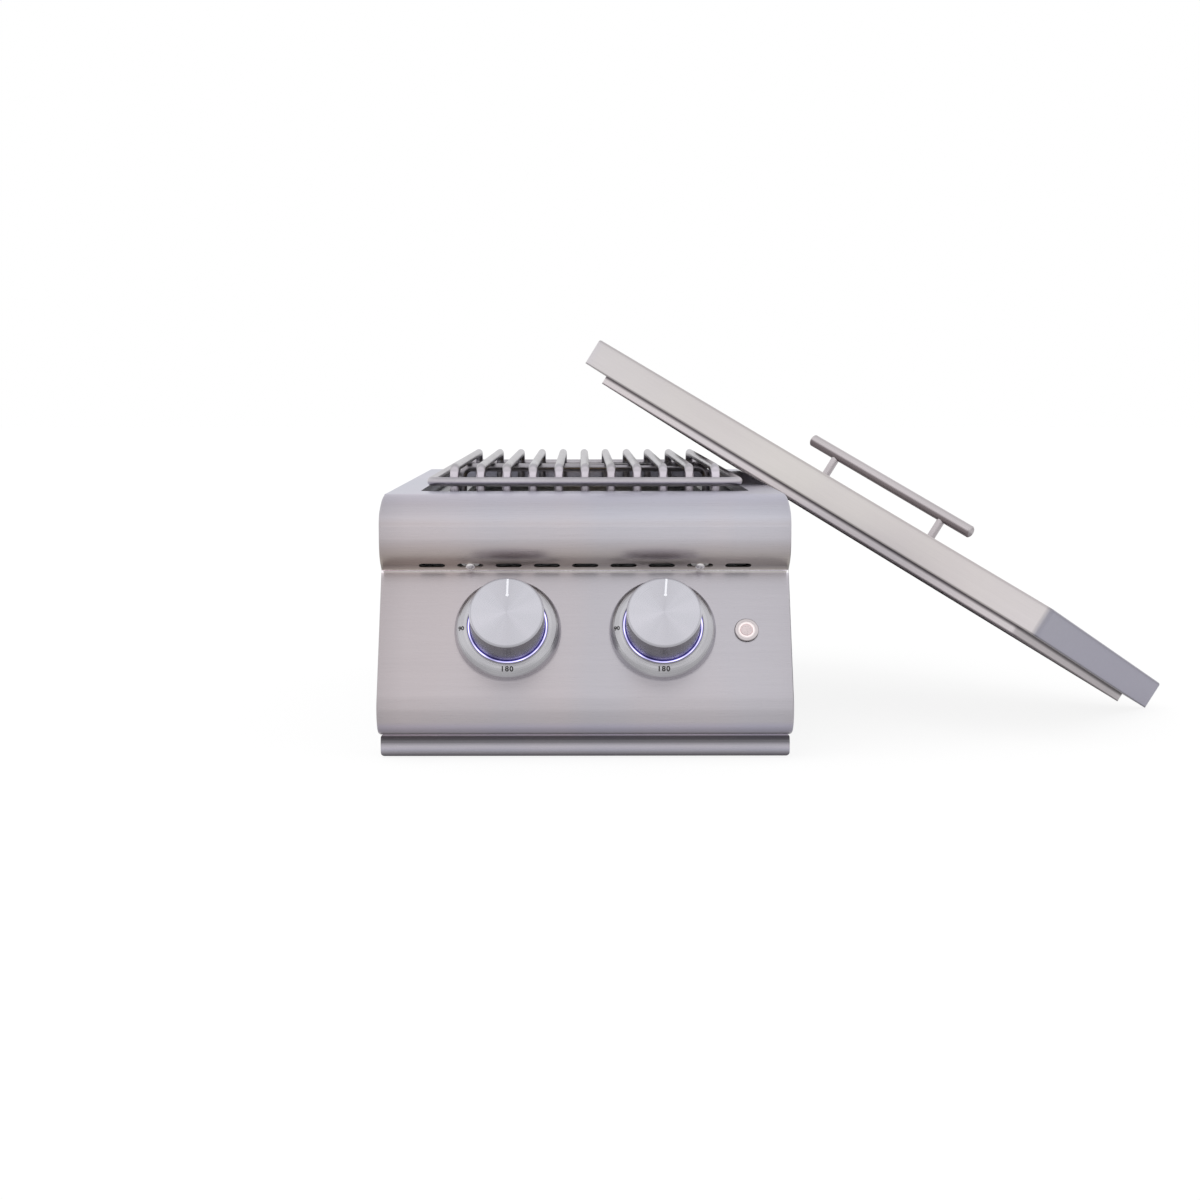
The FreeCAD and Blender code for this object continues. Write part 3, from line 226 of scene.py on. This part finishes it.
# Turned frames of the sloping panel and of the leaning cover
coverLean = {"lean": 31.6, "turn": 37.65}
outward = Vector(joints["knob_left_turn"]["axis"])
panelTurn = (atan2(-outward.y, outward.z), 0, 0)
coverMatrix = (Matrix.Rotation(radians(coverLean["lean"]), 4, "Y")
               @ Matrix.Rotation(radians(-coverLean["turn"]), 4, "Z"))
coverTurn = tuple(coverMatrix.to_euler("XYZ"))
coverAlong = tuple(coverMatrix.to_3x3() @ Vector((1, 0, 0)))
shellPoints = [coverMatrix.inverted() @ vertex.co for vertex in nodes["cover_shell"].data.vertices]
coverPlace = tuple(coverMatrix @ Vector([min(point[axis] for point in shellPoints) for axis in range(3)]))
coverLength, coverHeight = (max(point[axis] for point in shellPoints)
                            - min(point[axis] for point in shellPoints) for axis in (0, 2))


# Sheet metal of the body and the cover; painted light and shade run up and across the front, up the drip
# tray's strip, and along and up the cover and its rim
# Painted shade and highlight up the front: darker at the foot of the panel's bulge, a bright painted
# highlight along the crease under the nose, painted shade under the nose's chin, lightest on its brow and
# darker towards its top
frontPaintedShade = [(0.0208, 0.80), (0.0220, 0.66), (0.0250, (0.47, 0.47, 0.53)), (0.0268, (0.54, 0.54, 0.60)),
              (0.0299, (0.67, 0.67, 0.74)), (0.0335, 0.73), (0.0405, 0.72), (0.0470, 0.63), (0.0502, 0.62),
              (0.0560, 0.68), (0.1470, 0.68), (0.1496, 0.74), (0.1511, 0.86), (0.1520, 1.0), (0.1527, 1.5),
              (0.1540, 1.6), (0.1543, 1.0), (0.1547, (0.60, 0.57, 0.50)), (0.1556, (0.47, 0.44, 0.38)),
              (0.1587, (0.46, 0.44, 0.385)), (0.1603, (0.60, 0.57, 0.49)), (0.1631, (0.66, 0.625, 0.55)),
              (0.1690, (0.64, 0.61, 0.565)), (0.1745, (0.71, 0.685, 0.66)), (0.1813, 0.77),
              (0.1913, (0.81, 0.82, 0.83)), (0.1946, 0.71), (0.1995, (0.72, 0.74, 0.76)),
              (0.2058, (0.64, 0.66, 0.69)), (0.2100, (0.57, 0.58, 0.62)), (0.2160, (0.53, 0.54, 0.62)),
              (0.2170, (0.58, 0.59, 0.69))]
# Painted shade across the front: darker towards its left end, a little lighter right of the middle and
# darker again at its right end
frontPaintedSpread = [(-0.172, 0.84), (-0.165, 0.88), (-0.150, 0.95), (-0.110, 0.985), (0.0, 1.0), (0.060, 1.03),
               (0.130, 1.03), (0.160, 1.0), (0.172, 0.96)]
# Painted shade and highlight up the drip tray's strip: dark at its foot, a lit band across its middle,
# painted shadow under the panel's bulge and a bright painted highlight along its top edge
stripPaintedShade = [(0.0014, 0.16), (0.0033, 0.31), (0.0050, 0.53), (0.0068, (0.71, 0.73, 0.76)),
              (0.0085, (0.84, 0.84, 0.87)), (0.0099, 0.83), (0.0109, 0.70), (0.0119, 0.50),
              (0.0135, 0.225), (0.0143, 0.235), (0.0151, 0.18), (0.0158, 0.155), (0.0166, 0.20),
              (0.0181, 0.235), (0.0187, 0.65), (0.0190, 1.25), (0.0200, 1.25)]
# Painted shade up the cover's shell: a dark line along its lower edge and a darker band at its rounded upper
# edge
coverEdgePaintedShade = [(0.0, (0.46, 0.45, 0.45)), (0.0008, (0.56, 0.55, 0.55)), (0.0016, 0.97), (0.0035, 1.0),
                  (0.0225, 0.98), (0.0248, 0.95), (0.0262, (0.72, 0.71, 0.72)), (0.0275, (0.78, 0.77, 0.78))]
# Painted reflection and shade along the cover's shell: a cool tint where it starts, warmer towards the
# middle, and at its far end a dark painted band and a cool tint on the rounded corner
coverLengthPaintedShade = [(0.0, (0.90, 0.91, 0.96)), (0.012, (0.93, 0.93, 0.95)), (0.15, (0.95, 0.95, 0.94)),
                    (0.32, (0.99, 0.99, 0.975)), (0.47, (1.0, 0.985, 0.985)),
                    (coverLength - 0.006, (0.97, 0.96, 0.98)), (coverLength - 0.003, (0.50, 0.51, 0.56)),
                    (coverLength - 0.0012, (0.68, 0.70, 0.83)), (coverLength, (0.66, 0.68, 0.81))]
# Painted shade up the cover's rim: dark at its lower edge, a lit band, and painted shadow under the shell's
# edge
rimPaintedShade = [(-0.0086, (0.22, 0.20, 0.21)), (-0.0079, (0.40, 0.38, 0.39)), (-0.0070, (0.96, 0.94, 0.95)),
            (-0.0034, 1.0), (-0.0022, (0.62, 0.60, 0.61)), (-0.0014, (0.27, 0.26, 0.27)),
            (0.0, (0.20, 0.19, 0.20))]
sheetLooks = {
    "frontSteel": {"colour": (0.83, 0.755, 0.785), "cloudColour": (0.765, 0.735, 0.795), "roughness": 0.29,
                   "anisotropic": 0.5, "cloud": (9, 2, 2), "paintedShades": {"Z": frontPaintedShade, "X": frontPaintedSpread}},
    "topSteel": {"colour": (0.47, 0.46, 0.545), "cloudColour": (0.44, 0.445, 0.53), "roughness": 0.30,
                 "anisotropic": 0.4},
    "coverSteel": {"colour": (0.72, 0.685, 0.675), "cloudColour": (0.70, 0.66, 0.665), "roughness": 0.32,
                   "anisotropic": 0.3, "place": coverPlace, "turn": coverTurn, "along": coverAlong,
                   "paintedShades": {"Z": coverEdgePaintedShade, "X": coverLengthPaintedShade}},
    "rimSteel": {"colour": (0.74, 0.69, 0.70), "cloudColour": (0.72, 0.68, 0.70), "roughness": 0.35,
                 "place": coverPlace, "turn": coverTurn, "paintedShades": {"Z": rimPaintedShade}},
    "stripSteel": {"colour": (0.75, 0.71, 0.78), "cloudColour": (0.72, 0.69, 0.77), "roughness": 0.25,
                   "anisotropic": 0.5, "paintedShades": {"Z": stripPaintedShade}},
    "traySteel": {"colour": (0.50, 0.48, 0.50), "cloudColour": (0.46, 0.445, 0.46), "roughness": 0.3,
                  "anisotropic": 0.4},
    "casingSteel": {"colour": (0.44, 0.44, 0.45), "cloudColour": (0.38, 0.385, 0.40), "roughness": 0.42,
                    "grain": (180, 180, 180), "streak": (40, 40, 40), "cloud": (12, 12, 12)},
}
sheetNodes = {
    "frontSteel": ["control_panel", "front_bullnose", "end_cap_left", "end_cap_right"],
    "topSteel": ["top_frame"],
    "coverSteel": ["cover_shell"],
    "rimSteel": ["cover_rim"],
    "stripSteel": ["drip_tray_front"],
    "traySteel": ["drip_tray"],
    "casingSteel": ["casing_left", "casing_right", "casing_front", "casing_rear", "casing_floor",
                    "heat_shield", "grate_ledge", "tray_runners"],
}
dressAll(sheetLooks, sheetNodes, brushedMetal)
print("side burner: sheet metal dressed")


# Round rods of the grate and the cover's handle: painted shade and highlight run up them, and from the front
# along the bars
barFront = min(vertex.co.y for vertex in nodes["grate_bars"].data.vertices)
# Painted shade up the grate's bars and cross rod: darker low down, a darker band at the bars' bends,
# lightest on top
barPaintedShade = [(0.205, (0.62, 0.61, 0.61)), (0.2165, (0.86, 0.85, 0.86)), (0.2325, (1.0, 0.99, 1.0)),
            (0.2345, 0.80), (0.2372, 0.93), (0.2390, 1.0)]
# Painted highlight on the bars' front ends and painted shade further back along them, with a lighter band
# between
barPaintedSpread = [(barFront, (1.28, 1.25, 1.26)), (barFront + 0.0038, (1.24, 1.21, 1.22)),
             (barFront + 0.0062, 0.78), (barFront + 0.034, 0.70), (barFront + 0.055, 0.84),
             (barFront + 0.085, 0.73), (barFront + 0.25, 0.69)]
# Painted shade up the grate's ring: dark along its underside, lightest at mid-height, darker on top
ringPaintedShade = [(0.2207, (0.46, 0.45, 0.45)), (0.2214, (0.80, 0.78, 0.79)), (0.2228, (0.98, 0.96, 0.98)),
             (0.2256, (1.0, 0.98, 1.0)), (0.2268, 0.95), (0.2279, (0.76, 0.75, 0.77)),
             (0.2287, (0.66, 0.65, 0.67))]
barRise = coverHeight + 0.0272
# Painted shade and highlight up the handle bar: a dark underside, a lit band just above its axis, a darker
# line and a lighter top edge
handlePaintedShade = [(barRise - 0.006, (0.24, 0.23, 0.24)), (barRise - 0.0045, (0.40, 0.38, 0.39)),
               (barRise - 0.0015, (0.55, 0.53, 0.54)), (barRise + 0.0005, (0.96, 0.94, 0.95)),
               (barRise + 0.003, 0.90), (barRise + 0.0048, (0.74, 0.72, 0.73)), (barRise + 0.006, 0.95)]
rodLooks = {
    "grateSteel": {"colour": (0.56, 0.54, 0.59), "cloudColour": (0.50, 0.48, 0.51), "roughness": 0.30,
                   "grain": (900, 300, 900), "streak": (60, 20, 60), "cloud": (30, 18, 30), "contrast": 0.05,
                   "paintedShades": {"Z": barPaintedShade, "Y": barPaintedSpread}},
    "ringSteel": {"colour": (0.54, 0.52, 0.55), "cloudColour": (0.49, 0.47, 0.50), "roughness": 0.30,
                  "grain": (300, 300, 900), "streak": (30, 30, 60), "cloud": (24, 24, 30), "contrast": 0.05,
                  "paintedShades": {"Z": ringPaintedShade}},
    "handleSteel": {"colour": (0.66, 0.62, 0.635), "cloudColour": (0.61, 0.575, 0.59), "roughness": 0.28,
                    "grain": (60, 1500, 1500), "place": coverPlace, "turn": coverTurn,
                    "paintedShades": {"Z": handlePaintedShade}},
    "postSteel": {"colour": (0.62, 0.58, 0.60), "cloudColour": (0.57, 0.53, 0.55), "roughness": 0.28,
                  "grain": (900, 900, 60), "place": coverPlace, "turn": coverTurn},
}
rodNodes = {
    "grateSteel": ["grate_bars", "grate_cross_rod"],
    "ringSteel": ["grate_ring"],
    "handleSteel": ["cover_handle_bar"],
    "postSteel": ["cover_handle_posts"],
}
dressAll(rodLooks, rodNodes, brushedMetal)
print("side burner: rods dressed")


# Turned, cast and drawn metal
metalLooks = {
    "brightSteel": {"colour": (0.66, 0.64, 0.66), "cloudColour": (0.60, 0.58, 0.60), "roughness": 0.20,
                    "grain": (700, 700, 700), "streak": (90, 90, 90), "cloud": (60, 60, 60)},
    "screwSteel": {"colour": (0.92, 0.90, 0.91), "cloudColour": (0.86, 0.84, 0.85), "roughness": 0.42,
                   "grain": (700, 700, 700), "streak": (90, 90, 90), "cloud": (60, 60, 60)},
    "castAlloy": {"colour": (0.42, 0.42, 0.43), "cloudColour": (0.36, 0.36, 0.37), "roughness": 0.5,
                  "grain": (900, 900, 900), "streak": (120, 120, 120), "cloud": (40, 40, 40), "bump": 0.3},
    "turnedBrass": {"colour": (0.66, 0.46, 0.20), "cloudColour": (0.55, 0.37, 0.16), "roughness": 0.34,
                    "grain": (800, 800, 800), "streak": (90, 90, 90), "cloud": (45, 45, 45)},
    "burnerSteel": {"colour": (0.40, 0.38, 0.37), "cloudColour": (0.30, 0.27, 0.27), "roughness": 0.42,
                    "grain": (400, 400, 400), "streak": (60, 60, 60), "cloud": (22, 22, 22)},
}
metalNodes = {
    "screwSteel": ["fascia_screws"],
    "brightSteel": ["screws", "cover_screws", "button_nut",
                    "valve_stem_left", "valve_stem_right", "gas_inlet"],
    "castAlloy": ["front_burner_pot", "rear_burner_pot", "valve_body_left", "valve_body_right"],
    "turnedBrass": ["front_burner_head", "rear_burner_head", "orifices", "valve_core_left",
                    "valve_core_right"],
    "burnerSteel": ["front_burner_tube", "rear_burner_tube", "air_shutters", "burner_brackets",
                    "manifold_pipe", "supply_tube"],
}
dressAll(metalLooks, metalNodes, brushedMetal)
print("side burner: turned and cast parts dressed")


# Knobs and bezels, spun on a lathe; tones run out from the axis in the knob's own frame, with painted shade
# lines and highlights at their edges, a painted sheen on the knobs' faces and painted shade on the knobs'
# skirts
# Painted shade on the knobs: a dark line round the face's edge in the rings, and a dark skirt, paler above
knobLook = {"colour": (0.62, 0.61, 0.665), "wedgeColour": (0.575, 0.57, 0.62),
            "skirtPaintedShade": (0.27, 0.26, 0.28), "skirtPaintedShadeAbove": (0.50, 0.48, 0.52), "roughness": 0.27,
            "faceHeight": 0.0392, "grooves": 900.0, "grooveTone": 0.004, "bump": 0.004, "anisotropic": 0.6,
            "paintedSheen": 0.06, "rings": [(0.0, (0.985, 0.985, 0.99)), (0.012, 1.0), (0.0285, 1.0), (0.0291, 0.93),
                                   (0.0296, 0.72), (0.0301, 0.95), (0.0309, 1.0)]}
# Painted light and shade on the bezels: a dark line at the inner edge, lighter just outside it, darker
# across the dome and a painted highlight near the outer edge
bezelLook = {"colour": (0.80, 0.79, 0.83), "wedgeColour": (0.70, 0.69, 0.73),
             "skirtPaintedShade": (0.5, 0.5, 0.5), "skirtPaintedShadeAbove": (0.5, 0.5, 0.5), "roughness": 0.27,
             "faceHeight": -0.01, "grooves": 500.0, "grooveTone": 0.008, "bump": 0.008, "anisotropic": 0.5,
             "paintedSheen": 0.02, "rings": [(0.0334, 0.30), (0.0338, 0.48), (0.0344, 0.78), (0.0358, 0.77),
                                    (0.0374, 0.66), (0.0390, 0.69), (0.0408, 0.67), (0.0422, 0.66),
                                    (0.0432, 0.74), (0.0440, 0.78), (0.0444, 0.70)]}


def spunMetal(name, place, axis, look):
    # Face above faceHeight, skirt below it; the skirt is painted shade, paler on its upper half, and the
    # face carries a painted sheen
    made, tree, shader = startMaterial(name, look)
    local = turnedCoords(tree, place, panelTurn)
    parts, flat, reach = outFromAxis(tree, local)
    spoke = addNode(tree, "VectorMath", operation="NORMALIZE")
    join(tree, flat, "Vector", spoke, 0)
    # Painted sheen on the face: random light and dark wedges round the axis, and lighter on its left and
    # right than on its top and bottom
    wedge = addNode(tree, "TexNoise", {"Scale": 1.3, "Detail": 1.0})
    join(tree, spoke, "Vector", wedge, "Vector")
    wedgeShare = mapped(tree, wedge, "Fac", *spans["wedge"], 0.0, 1.0)
    faceTone = blended(tree, wedgeShare.outputs[0], look["colour"], look["wedgeColour"])
    sideways = addNode(tree, "SeparateXYZ")
    join(tree, spoke, "Vector", sideways, "Vector")
    beside = addNode(tree, "Math", operation="ABSOLUTE")
    join(tree, sideways, "X", beside, 0)
    paintedSheen = mapped(tree, beside, 0, 0.1, 1.0, 1 - look["paintedSheen"], 1 + look["paintedSheen"])
    faceTone = blended(tree, 1.0, faceTone.outputs[2], paintedSheen.outputs[0], "MULTIPLY")
    # Tones out from the axis, which hold the painted shade lines and highlights at the edges
    rings = toneRamp(tree, reach, "Value", look["rings"])
    faceTone = blended(tree, 1.0, faceTone.outputs[2], rings, "MULTIPLY")
    faceHeight = look["faceHeight"]
    onFace = mapped(tree, parts, "Z", faceHeight - 0.0004, faceHeight + 0.0002, 0.0, 1.0)
    # Painted shade on the skirt: darker below, paler above
    above = mapped(tree, parts, "Y", -0.008, 0.014, 0.0, 1.0)
    skirt = blended(tree, above.outputs[0], look["skirtPaintedShade"], look["skirtPaintedShadeAbove"])
    tone = blended(tree, onFace.outputs[0], skirt.outputs[2], faceTone.outputs[2])
    groove = addNode(tree, "TexNoise", {"Scale": look["grooves"], "Detail": 2.0}, noise_dimensions="1D")
    tree.links.new(reach.outputs["Value"], groove.inputs["W"])
    grooveTone = mapped(tree, groove, "Fac", *spans["fine"], 1 - look["grooveTone"], 1 + look["grooveTone"])
    shaded = blended(tree, 1.0, tone.outputs[2], grooveTone.outputs[0], "MULTIPLY")
    tree.links.new(shaded.outputs[2], shader.inputs["Base Color"])
    rough = mapped(tree, groove, "Fac", *spans["wide"], look["roughness"] - 0.02, look["roughness"] + 0.03)
    join(tree, rough, 0, shader, "Roughness")
    bump = addNode(tree, "Bump", {"Strength": look["bump"], "Distance": bumpDepth})
    join(tree, groove, "Fac", bump, "Height")
    join(tree, bump, "Normal", shader, "Normal")
    coords = addNode(tree, "TexCoord")
    arm = addNode(tree, "VectorMath", operation="SUBTRACT")
    join(tree, coords, "Object", arm, 0)
    arm.inputs[1].default_value = place
    around = addNode(tree, "VectorMath", operation="CROSS_PRODUCT")
    around.inputs[0].default_value = axis
    join(tree, arm, "Vector", around, 1)
    tangentFrom(tree, around, shader)
    shader.inputs["Anisotropic"].default_value = look["anisotropic"]
    shader.inputs["Anisotropic Rotation"].default_value = quarterTurn
    return made


for side in ("left", "right"):
    turn = joints["knob_" + side + "_turn"]
    dressNode("knob_" + side, spunMetal("knobMetal." + side, turn["pos_m"], turn["axis"], knobLook))
    dressNode("bezel_" + side, spunMetal("bezelMetal." + side, turn["pos_m"], turn["axis"], bezelLook))
print("side burner: knobs and bezels dressed")


# Lit parts: rings round the knobs, pointers, ring of the push button; glow runs out from the axis that
# passes through the panel's face
buttonCap = [Vector(corner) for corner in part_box("button_cap")]
buttonMiddle = (buttonCap[0] + buttonCap[1]) / 2
panelPoint = Vector(joints["knob_right_turn"]["pos_m"])
buttonPlace = tuple(buttonMiddle - outward * (buttonMiddle - panelPoint).dot(outward))
glowLooks = {
    "ringGlow": {"colour": (0.20, 0.19, 0.30), "glow": (0.70, 0.67, 1.0), "strength": 1.5, "spots": 0.5,
                 "rings": [(0.0316, (0.08, 0.07, 0.24)), (0.0319, (0.30, 0.28, 0.66)),
                           (0.0322, (1.0, 0.99, 1.0)), (0.0327, (1.0, 0.98, 1.0)),
                           (0.0330, (0.20, 0.19, 0.42)), (0.0333, (0.06, 0.06, 0.14))]},
    "pointerGlow": {"colour": (0.86, 0.86, 0.90), "glow": (0.9, 0.9, 1.0), "strength": 0.22, "spots": 0.0,
                    "rings": [(0.0, 1.0), (0.05, 1.0)]},
    "buttonGlow": {"colour": (0.80, 0.74, 0.74), "glow": (1.0, 0.92, 0.92), "strength": 0.5, "spots": 0.0,
                   "rings": [(0.0050, 0.9), (0.0055, 1.0), (0.0061, 1.0), (0.0065, (0.42, 0.38, 0.39)),
                             (0.0076, (0.36, 0.33, 0.34))]},
}


def litDiffuser(name, place, look):
    made, tree, shader = startMaterial(name, {**look, "metallic": 0.0, "roughness": 0.35})
    local = turnedCoords(tree, place, panelTurn)
    _, _, reach = outFromAxis(tree, local)
    lamps = noiseOn(tree, local, (70, 70, 70), 1.0)
    level = mapped(tree, lamps, "Fac", *spans["lamp"], 1 - look["spots"], 1 + look["spots"] / 2)
    tone = blended(tree, 1.0, look["colour"], level.outputs[0], "MULTIPLY")
    tree.links.new(tone.outputs[2], shader.inputs["Base Color"])
    glow = blended(tree, 1.0, look["glow"], level.outputs[0], "MULTIPLY")
    rings = toneRamp(tree, reach, "Value", look["rings"])
    glow = blended(tree, 1.0, glow.outputs[2], rings, "MULTIPLY")
    tree.links.new(glow.outputs[2], shader.inputs["Emission Color"])
    shader.inputs["Emission Strength"].default_value = look["strength"]
    return made


for side in ("left", "right"):
    place = joints["knob_" + side + "_turn"]["pos_m"]
    dressNode("light_ring_" + side, litDiffuser("ringGlow." + side, place, glowLooks["ringGlow"]))
    dressNode("knob_pointer_" + side, litDiffuser("pointerGlow." + side, place, glowLooks["pointerGlow"]))
dressNode("button_light", litDiffuser("buttonGlow", buttonPlace, glowLooks["buttonGlow"]))
# Painted shade on the push button's rim: a near-black skirt, paler above, and a slightly darker inner edge
buttonRimLook = {"colour": (0.66, 0.605, 0.62), "wedgeColour": (0.62, 0.57, 0.585),
                 "skirtPaintedShade": (0.07, 0.06, 0.06), "skirtPaintedShadeAbove": (0.30, 0.28, 0.29), "roughness": 0.28,
                 "faceHeight": 0.0016, "grooves": 900.0, "grooveTone": 0.01, "bump": 0.008,
                 "anisotropic": 0.3, "paintedSheen": 0.03, "rings": [(0.0074, 0.92), (0.0080, 1.0), (0.0101, 1.0)]}
dressNode("button_housing", spunMetal("buttonRim", buttonPlace, tuple(outward), buttonRimLook))
print("side burner: lit parts and push button dressed")


# Washers, push button cap, ceramic, plastic and wire sleeves
plainLooks = {
    # Painted light: the washers glow weakly, so they look lit
    "zincPlate": {"colour": (0.82, 0.80, 0.80), "metallic": 0.1, "roughness": 0.5, "speck": 0.06,
                  "fineness": 900, "glow": 0.13},
    "buttonCapMetal": {"colour": (0.76, 0.65, 0.66), "metallic": 0.6, "roughness": 0.3, "speck": 0.05,
                       "fineness": 900},
    "glazedCeramic": {"colour": (0.80, 0.78, 0.73), "metallic": 0.0, "roughness": 0.25, "speck": 0.04,
                      "fineness": 500},
    "blackPlastic": {"colour": (0.030, 0.030, 0.032), "metallic": 0.0, "roughness": 0.5, "speck": 0.15,
                     "fineness": 1500},
    "wireSleeve": {"colour": (0.045, 0.043, 0.043), "metallic": 0.0, "roughness": 0.6, "speck": 0.12,
                   "fineness": 800},
}
plainNodes = {
    "zincPlate": ["fascia_washers"],
    "buttonCapMetal": ["button_cap"],
    "glazedCeramic": ["igniter_electrodes"],
    "blackPlastic": ["igniter_module", "power_jack"],
    "wireSleeve": ["wiring"],
}


def speckled(name, look):
    made, tree, shader = startMaterial(name, look)
    local = turnedCoords(tree)
    specks = noiseOn(tree, local, (look["fineness"],) * 3, 3.0)
    level = mapped(tree, specks, "Fac", *spans["fine"], 1 - look["speck"], 1 + look["speck"])
    tone = blended(tree, 1.0, look["colour"], level.outputs[0], "MULTIPLY")
    tree.links.new(tone.outputs[2], shader.inputs["Base Color"])
    # Painted light: a weak glow in the part's own tone, for looks that give one
    if look.get("glow"):
        tree.links.new(tone.outputs[2], shader.inputs["Emission Color"])
        shader.inputs["Emission Strength"].default_value = look["glow"]
    rough = mapped(tree, specks, "Fac", *spans["fine"], look["roughness"] - 0.05, look["roughness"] + 0.05)
    join(tree, rough, 0, shader, "Roughness")
    bump = addNode(tree, "Bump", {"Strength": 0.1, "Distance": bumpDepth / 2})
    join(tree, specks, "Fac", bump, "Height")
    join(tree, bump, "Normal", shader, "Normal")
    return made


dressAll(plainLooks, plainNodes, speckled)
print("side burner: small parts dressed")


# Numbers printed on the bezels, laid on the dome along the knob's axis
printLook = {"high": {"body": "90", "size": 0.0048, "stretch": 1.0, "spacing": 1.0,
                      "place": (-0.0383, -0.0027)},
             "low": {"body": "180", "size": 0.0054, "stretch": 1.15, "spacing": 1.2,
                     "place": (0.0, -0.0386)},
             "weight": 0.0002, "lift": 0.00006, "sameSpot": 0.000001, "cuts": 3, "startHeight": 0.05,
             "ink": {"colour": (0.035, 0.033, 0.034), "metallic": 0.0, "roughness": 0.5, "speck": 0.2,
                     "fineness": 2500}}


def printedNumber(name, look, side, ink):
    bpy.ops.object.select_all(action="DESELECT")
    bpy.ops.object.text_add()
    words = bpy.context.object
    words.data.body = look["body"]
    words.data.size = look["size"]
    words.data.space_character = look["spacing"]
    words.data.offset = printLook["weight"]
    words.data.align_x = "CENTER"
    words.data.align_y = "CENTER"
    bpy.ops.object.convert(target="MESH")
    words.name = name
    bpy.ops.object.mode_set(mode="EDIT")
    bpy.ops.mesh.select_all(action="SELECT")
    bpy.ops.mesh.remove_doubles(threshold=printLook["sameSpot"])
    bpy.ops.mesh.quads_convert_to_tris()
    bpy.ops.mesh.subdivide(number_cuts=printLook["cuts"])
    bpy.ops.object.mode_set(mode="OBJECT")
    turn = joints["knob_" + side + "_turn"]
    base = Vector(turn["pos_m"])
    tilt = Matrix.Rotation(panelTurn[0], 3, "X")
    shape = bmesh.new()
    shape.from_mesh(nodes["bezel_" + side].data)
    dome = BVHTree.FromBMesh(shape)
    shape.free()
    axis = Vector(turn["axis"])
    for vertex in words.data.vertices:
        flat = Vector((vertex.co.x * look["stretch"] + look["place"][0], vertex.co.y + look["place"][1],
                       printLook["startHeight"]))
        start = base + tilt @ flat
        hit, _, _, _ = dome.ray_cast(start, -axis)
        vertex.co = hit + axis * printLook["lift"]
    words.data.materials.clear()
    words.data.materials.append(ink)
    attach(words, "body")


markInk = speckled("markInk", printLook["ink"])
for side in ("left", "right"):
    printedNumber("mark_high_" + side, printLook["high"], side, markInk)
    printedNumber("mark_low_" + side, printLook["low"], side, markInk)
print("side burner: bezel marks made")


# Floor, backdrop and light
stageLook = {"floorSize": 30.0, "floorColour": (0.15, 0.15, 0.15), "floorRoughness": 0.9,
             "floorWhite": 0.87, "floorMirrored": 0.58, "dome": 0.72, "sunStrength": 1.1,
             "sunSpread": 70.0, "sunTurn": (38.0, -18.0, -25.0)}


def seenDirectly(tree, mirrored=1.0):
    # One where the camera sees the surface, a share in mirrors, nothing for the light that bounces
    path = addNode(tree, "LightPath")
    glossy = addNode(tree, "Math", operation="MULTIPLY")
    join(tree, path, "Is Glossy Ray", glossy, 0)
    glossy.inputs[1].default_value = mirrored
    first = addNode(tree, "Math", operation="MAXIMUM")
    join(tree, path, "Is Camera Ray", first, 0)
    join(tree, glossy, 0, first, 1)
    second = addNode(tree, "Math", operation="MAXIMUM")
    join(tree, first, 0, second, 0)
    join(tree, path, "Is Transmission Ray", second, 1)
    return second


def makeFloor(look):
    bpy.ops.object.select_all(action="DESELECT")
    bpy.ops.mesh.primitive_plane_add(size=look["floorSize"], location=(0, 0, 0))
    floor = bpy.context.object
    floor.name = "floor"
    paper = bpy.data.materials.new("floorPaper")
    paper.use_nodes = True
    tree = paper.node_tree
    shader = tree.nodes["Principled BSDF"]
    shader.inputs["Base Color"].default_value = (*look["floorColour"], 1.0)
    shader.inputs["Roughness"].default_value = look["floorRoughness"]
    shader.inputs["Specular IOR Level"].default_value = 0.0
    shader.inputs["Emission Color"].default_value = (1.0, 1.0, 1.0, 1.0)
    level = addNode(tree, "Math", operation="MULTIPLY")
    join(tree, seenDirectly(tree, look["floorMirrored"] / look["floorWhite"]), 0, level, 0)
    level.inputs[1].default_value = look["floorWhite"]
    join(tree, level, 0, shader, "Emission Strength")
    floor.data.materials.append(paper)


def makeLight(look):
    world = bpy.data.worlds.new("studio")
    bpy.context.scene.world = world
    world.use_nodes = True
    tree = world.node_tree
    background = tree.nodes["Background"]
    background.inputs["Color"].default_value = (1.0, 1.0, 1.0, 1.0)
    level = mapped(tree, seenDirectly(tree), 0, 0.0, 1.0, look["dome"], 1.0)
    join(tree, level, 0, background, "Strength")
    data = bpy.data.lights.new("softSun", "SUN")
    data.energy = look["sunStrength"]
    data.angle = radians(look["sunSpread"])
    sun = bpy.data.objects.new("softSun", data)
    sun.rotation_euler = [radians(angle) for angle in look["sunTurn"]]
    sun.visible_glossy = False
    bpy.context.scene.collection.objects.link(sun)


makeFloor(stageLook)
makeLight(stageLook)
print("side burner: stage set")
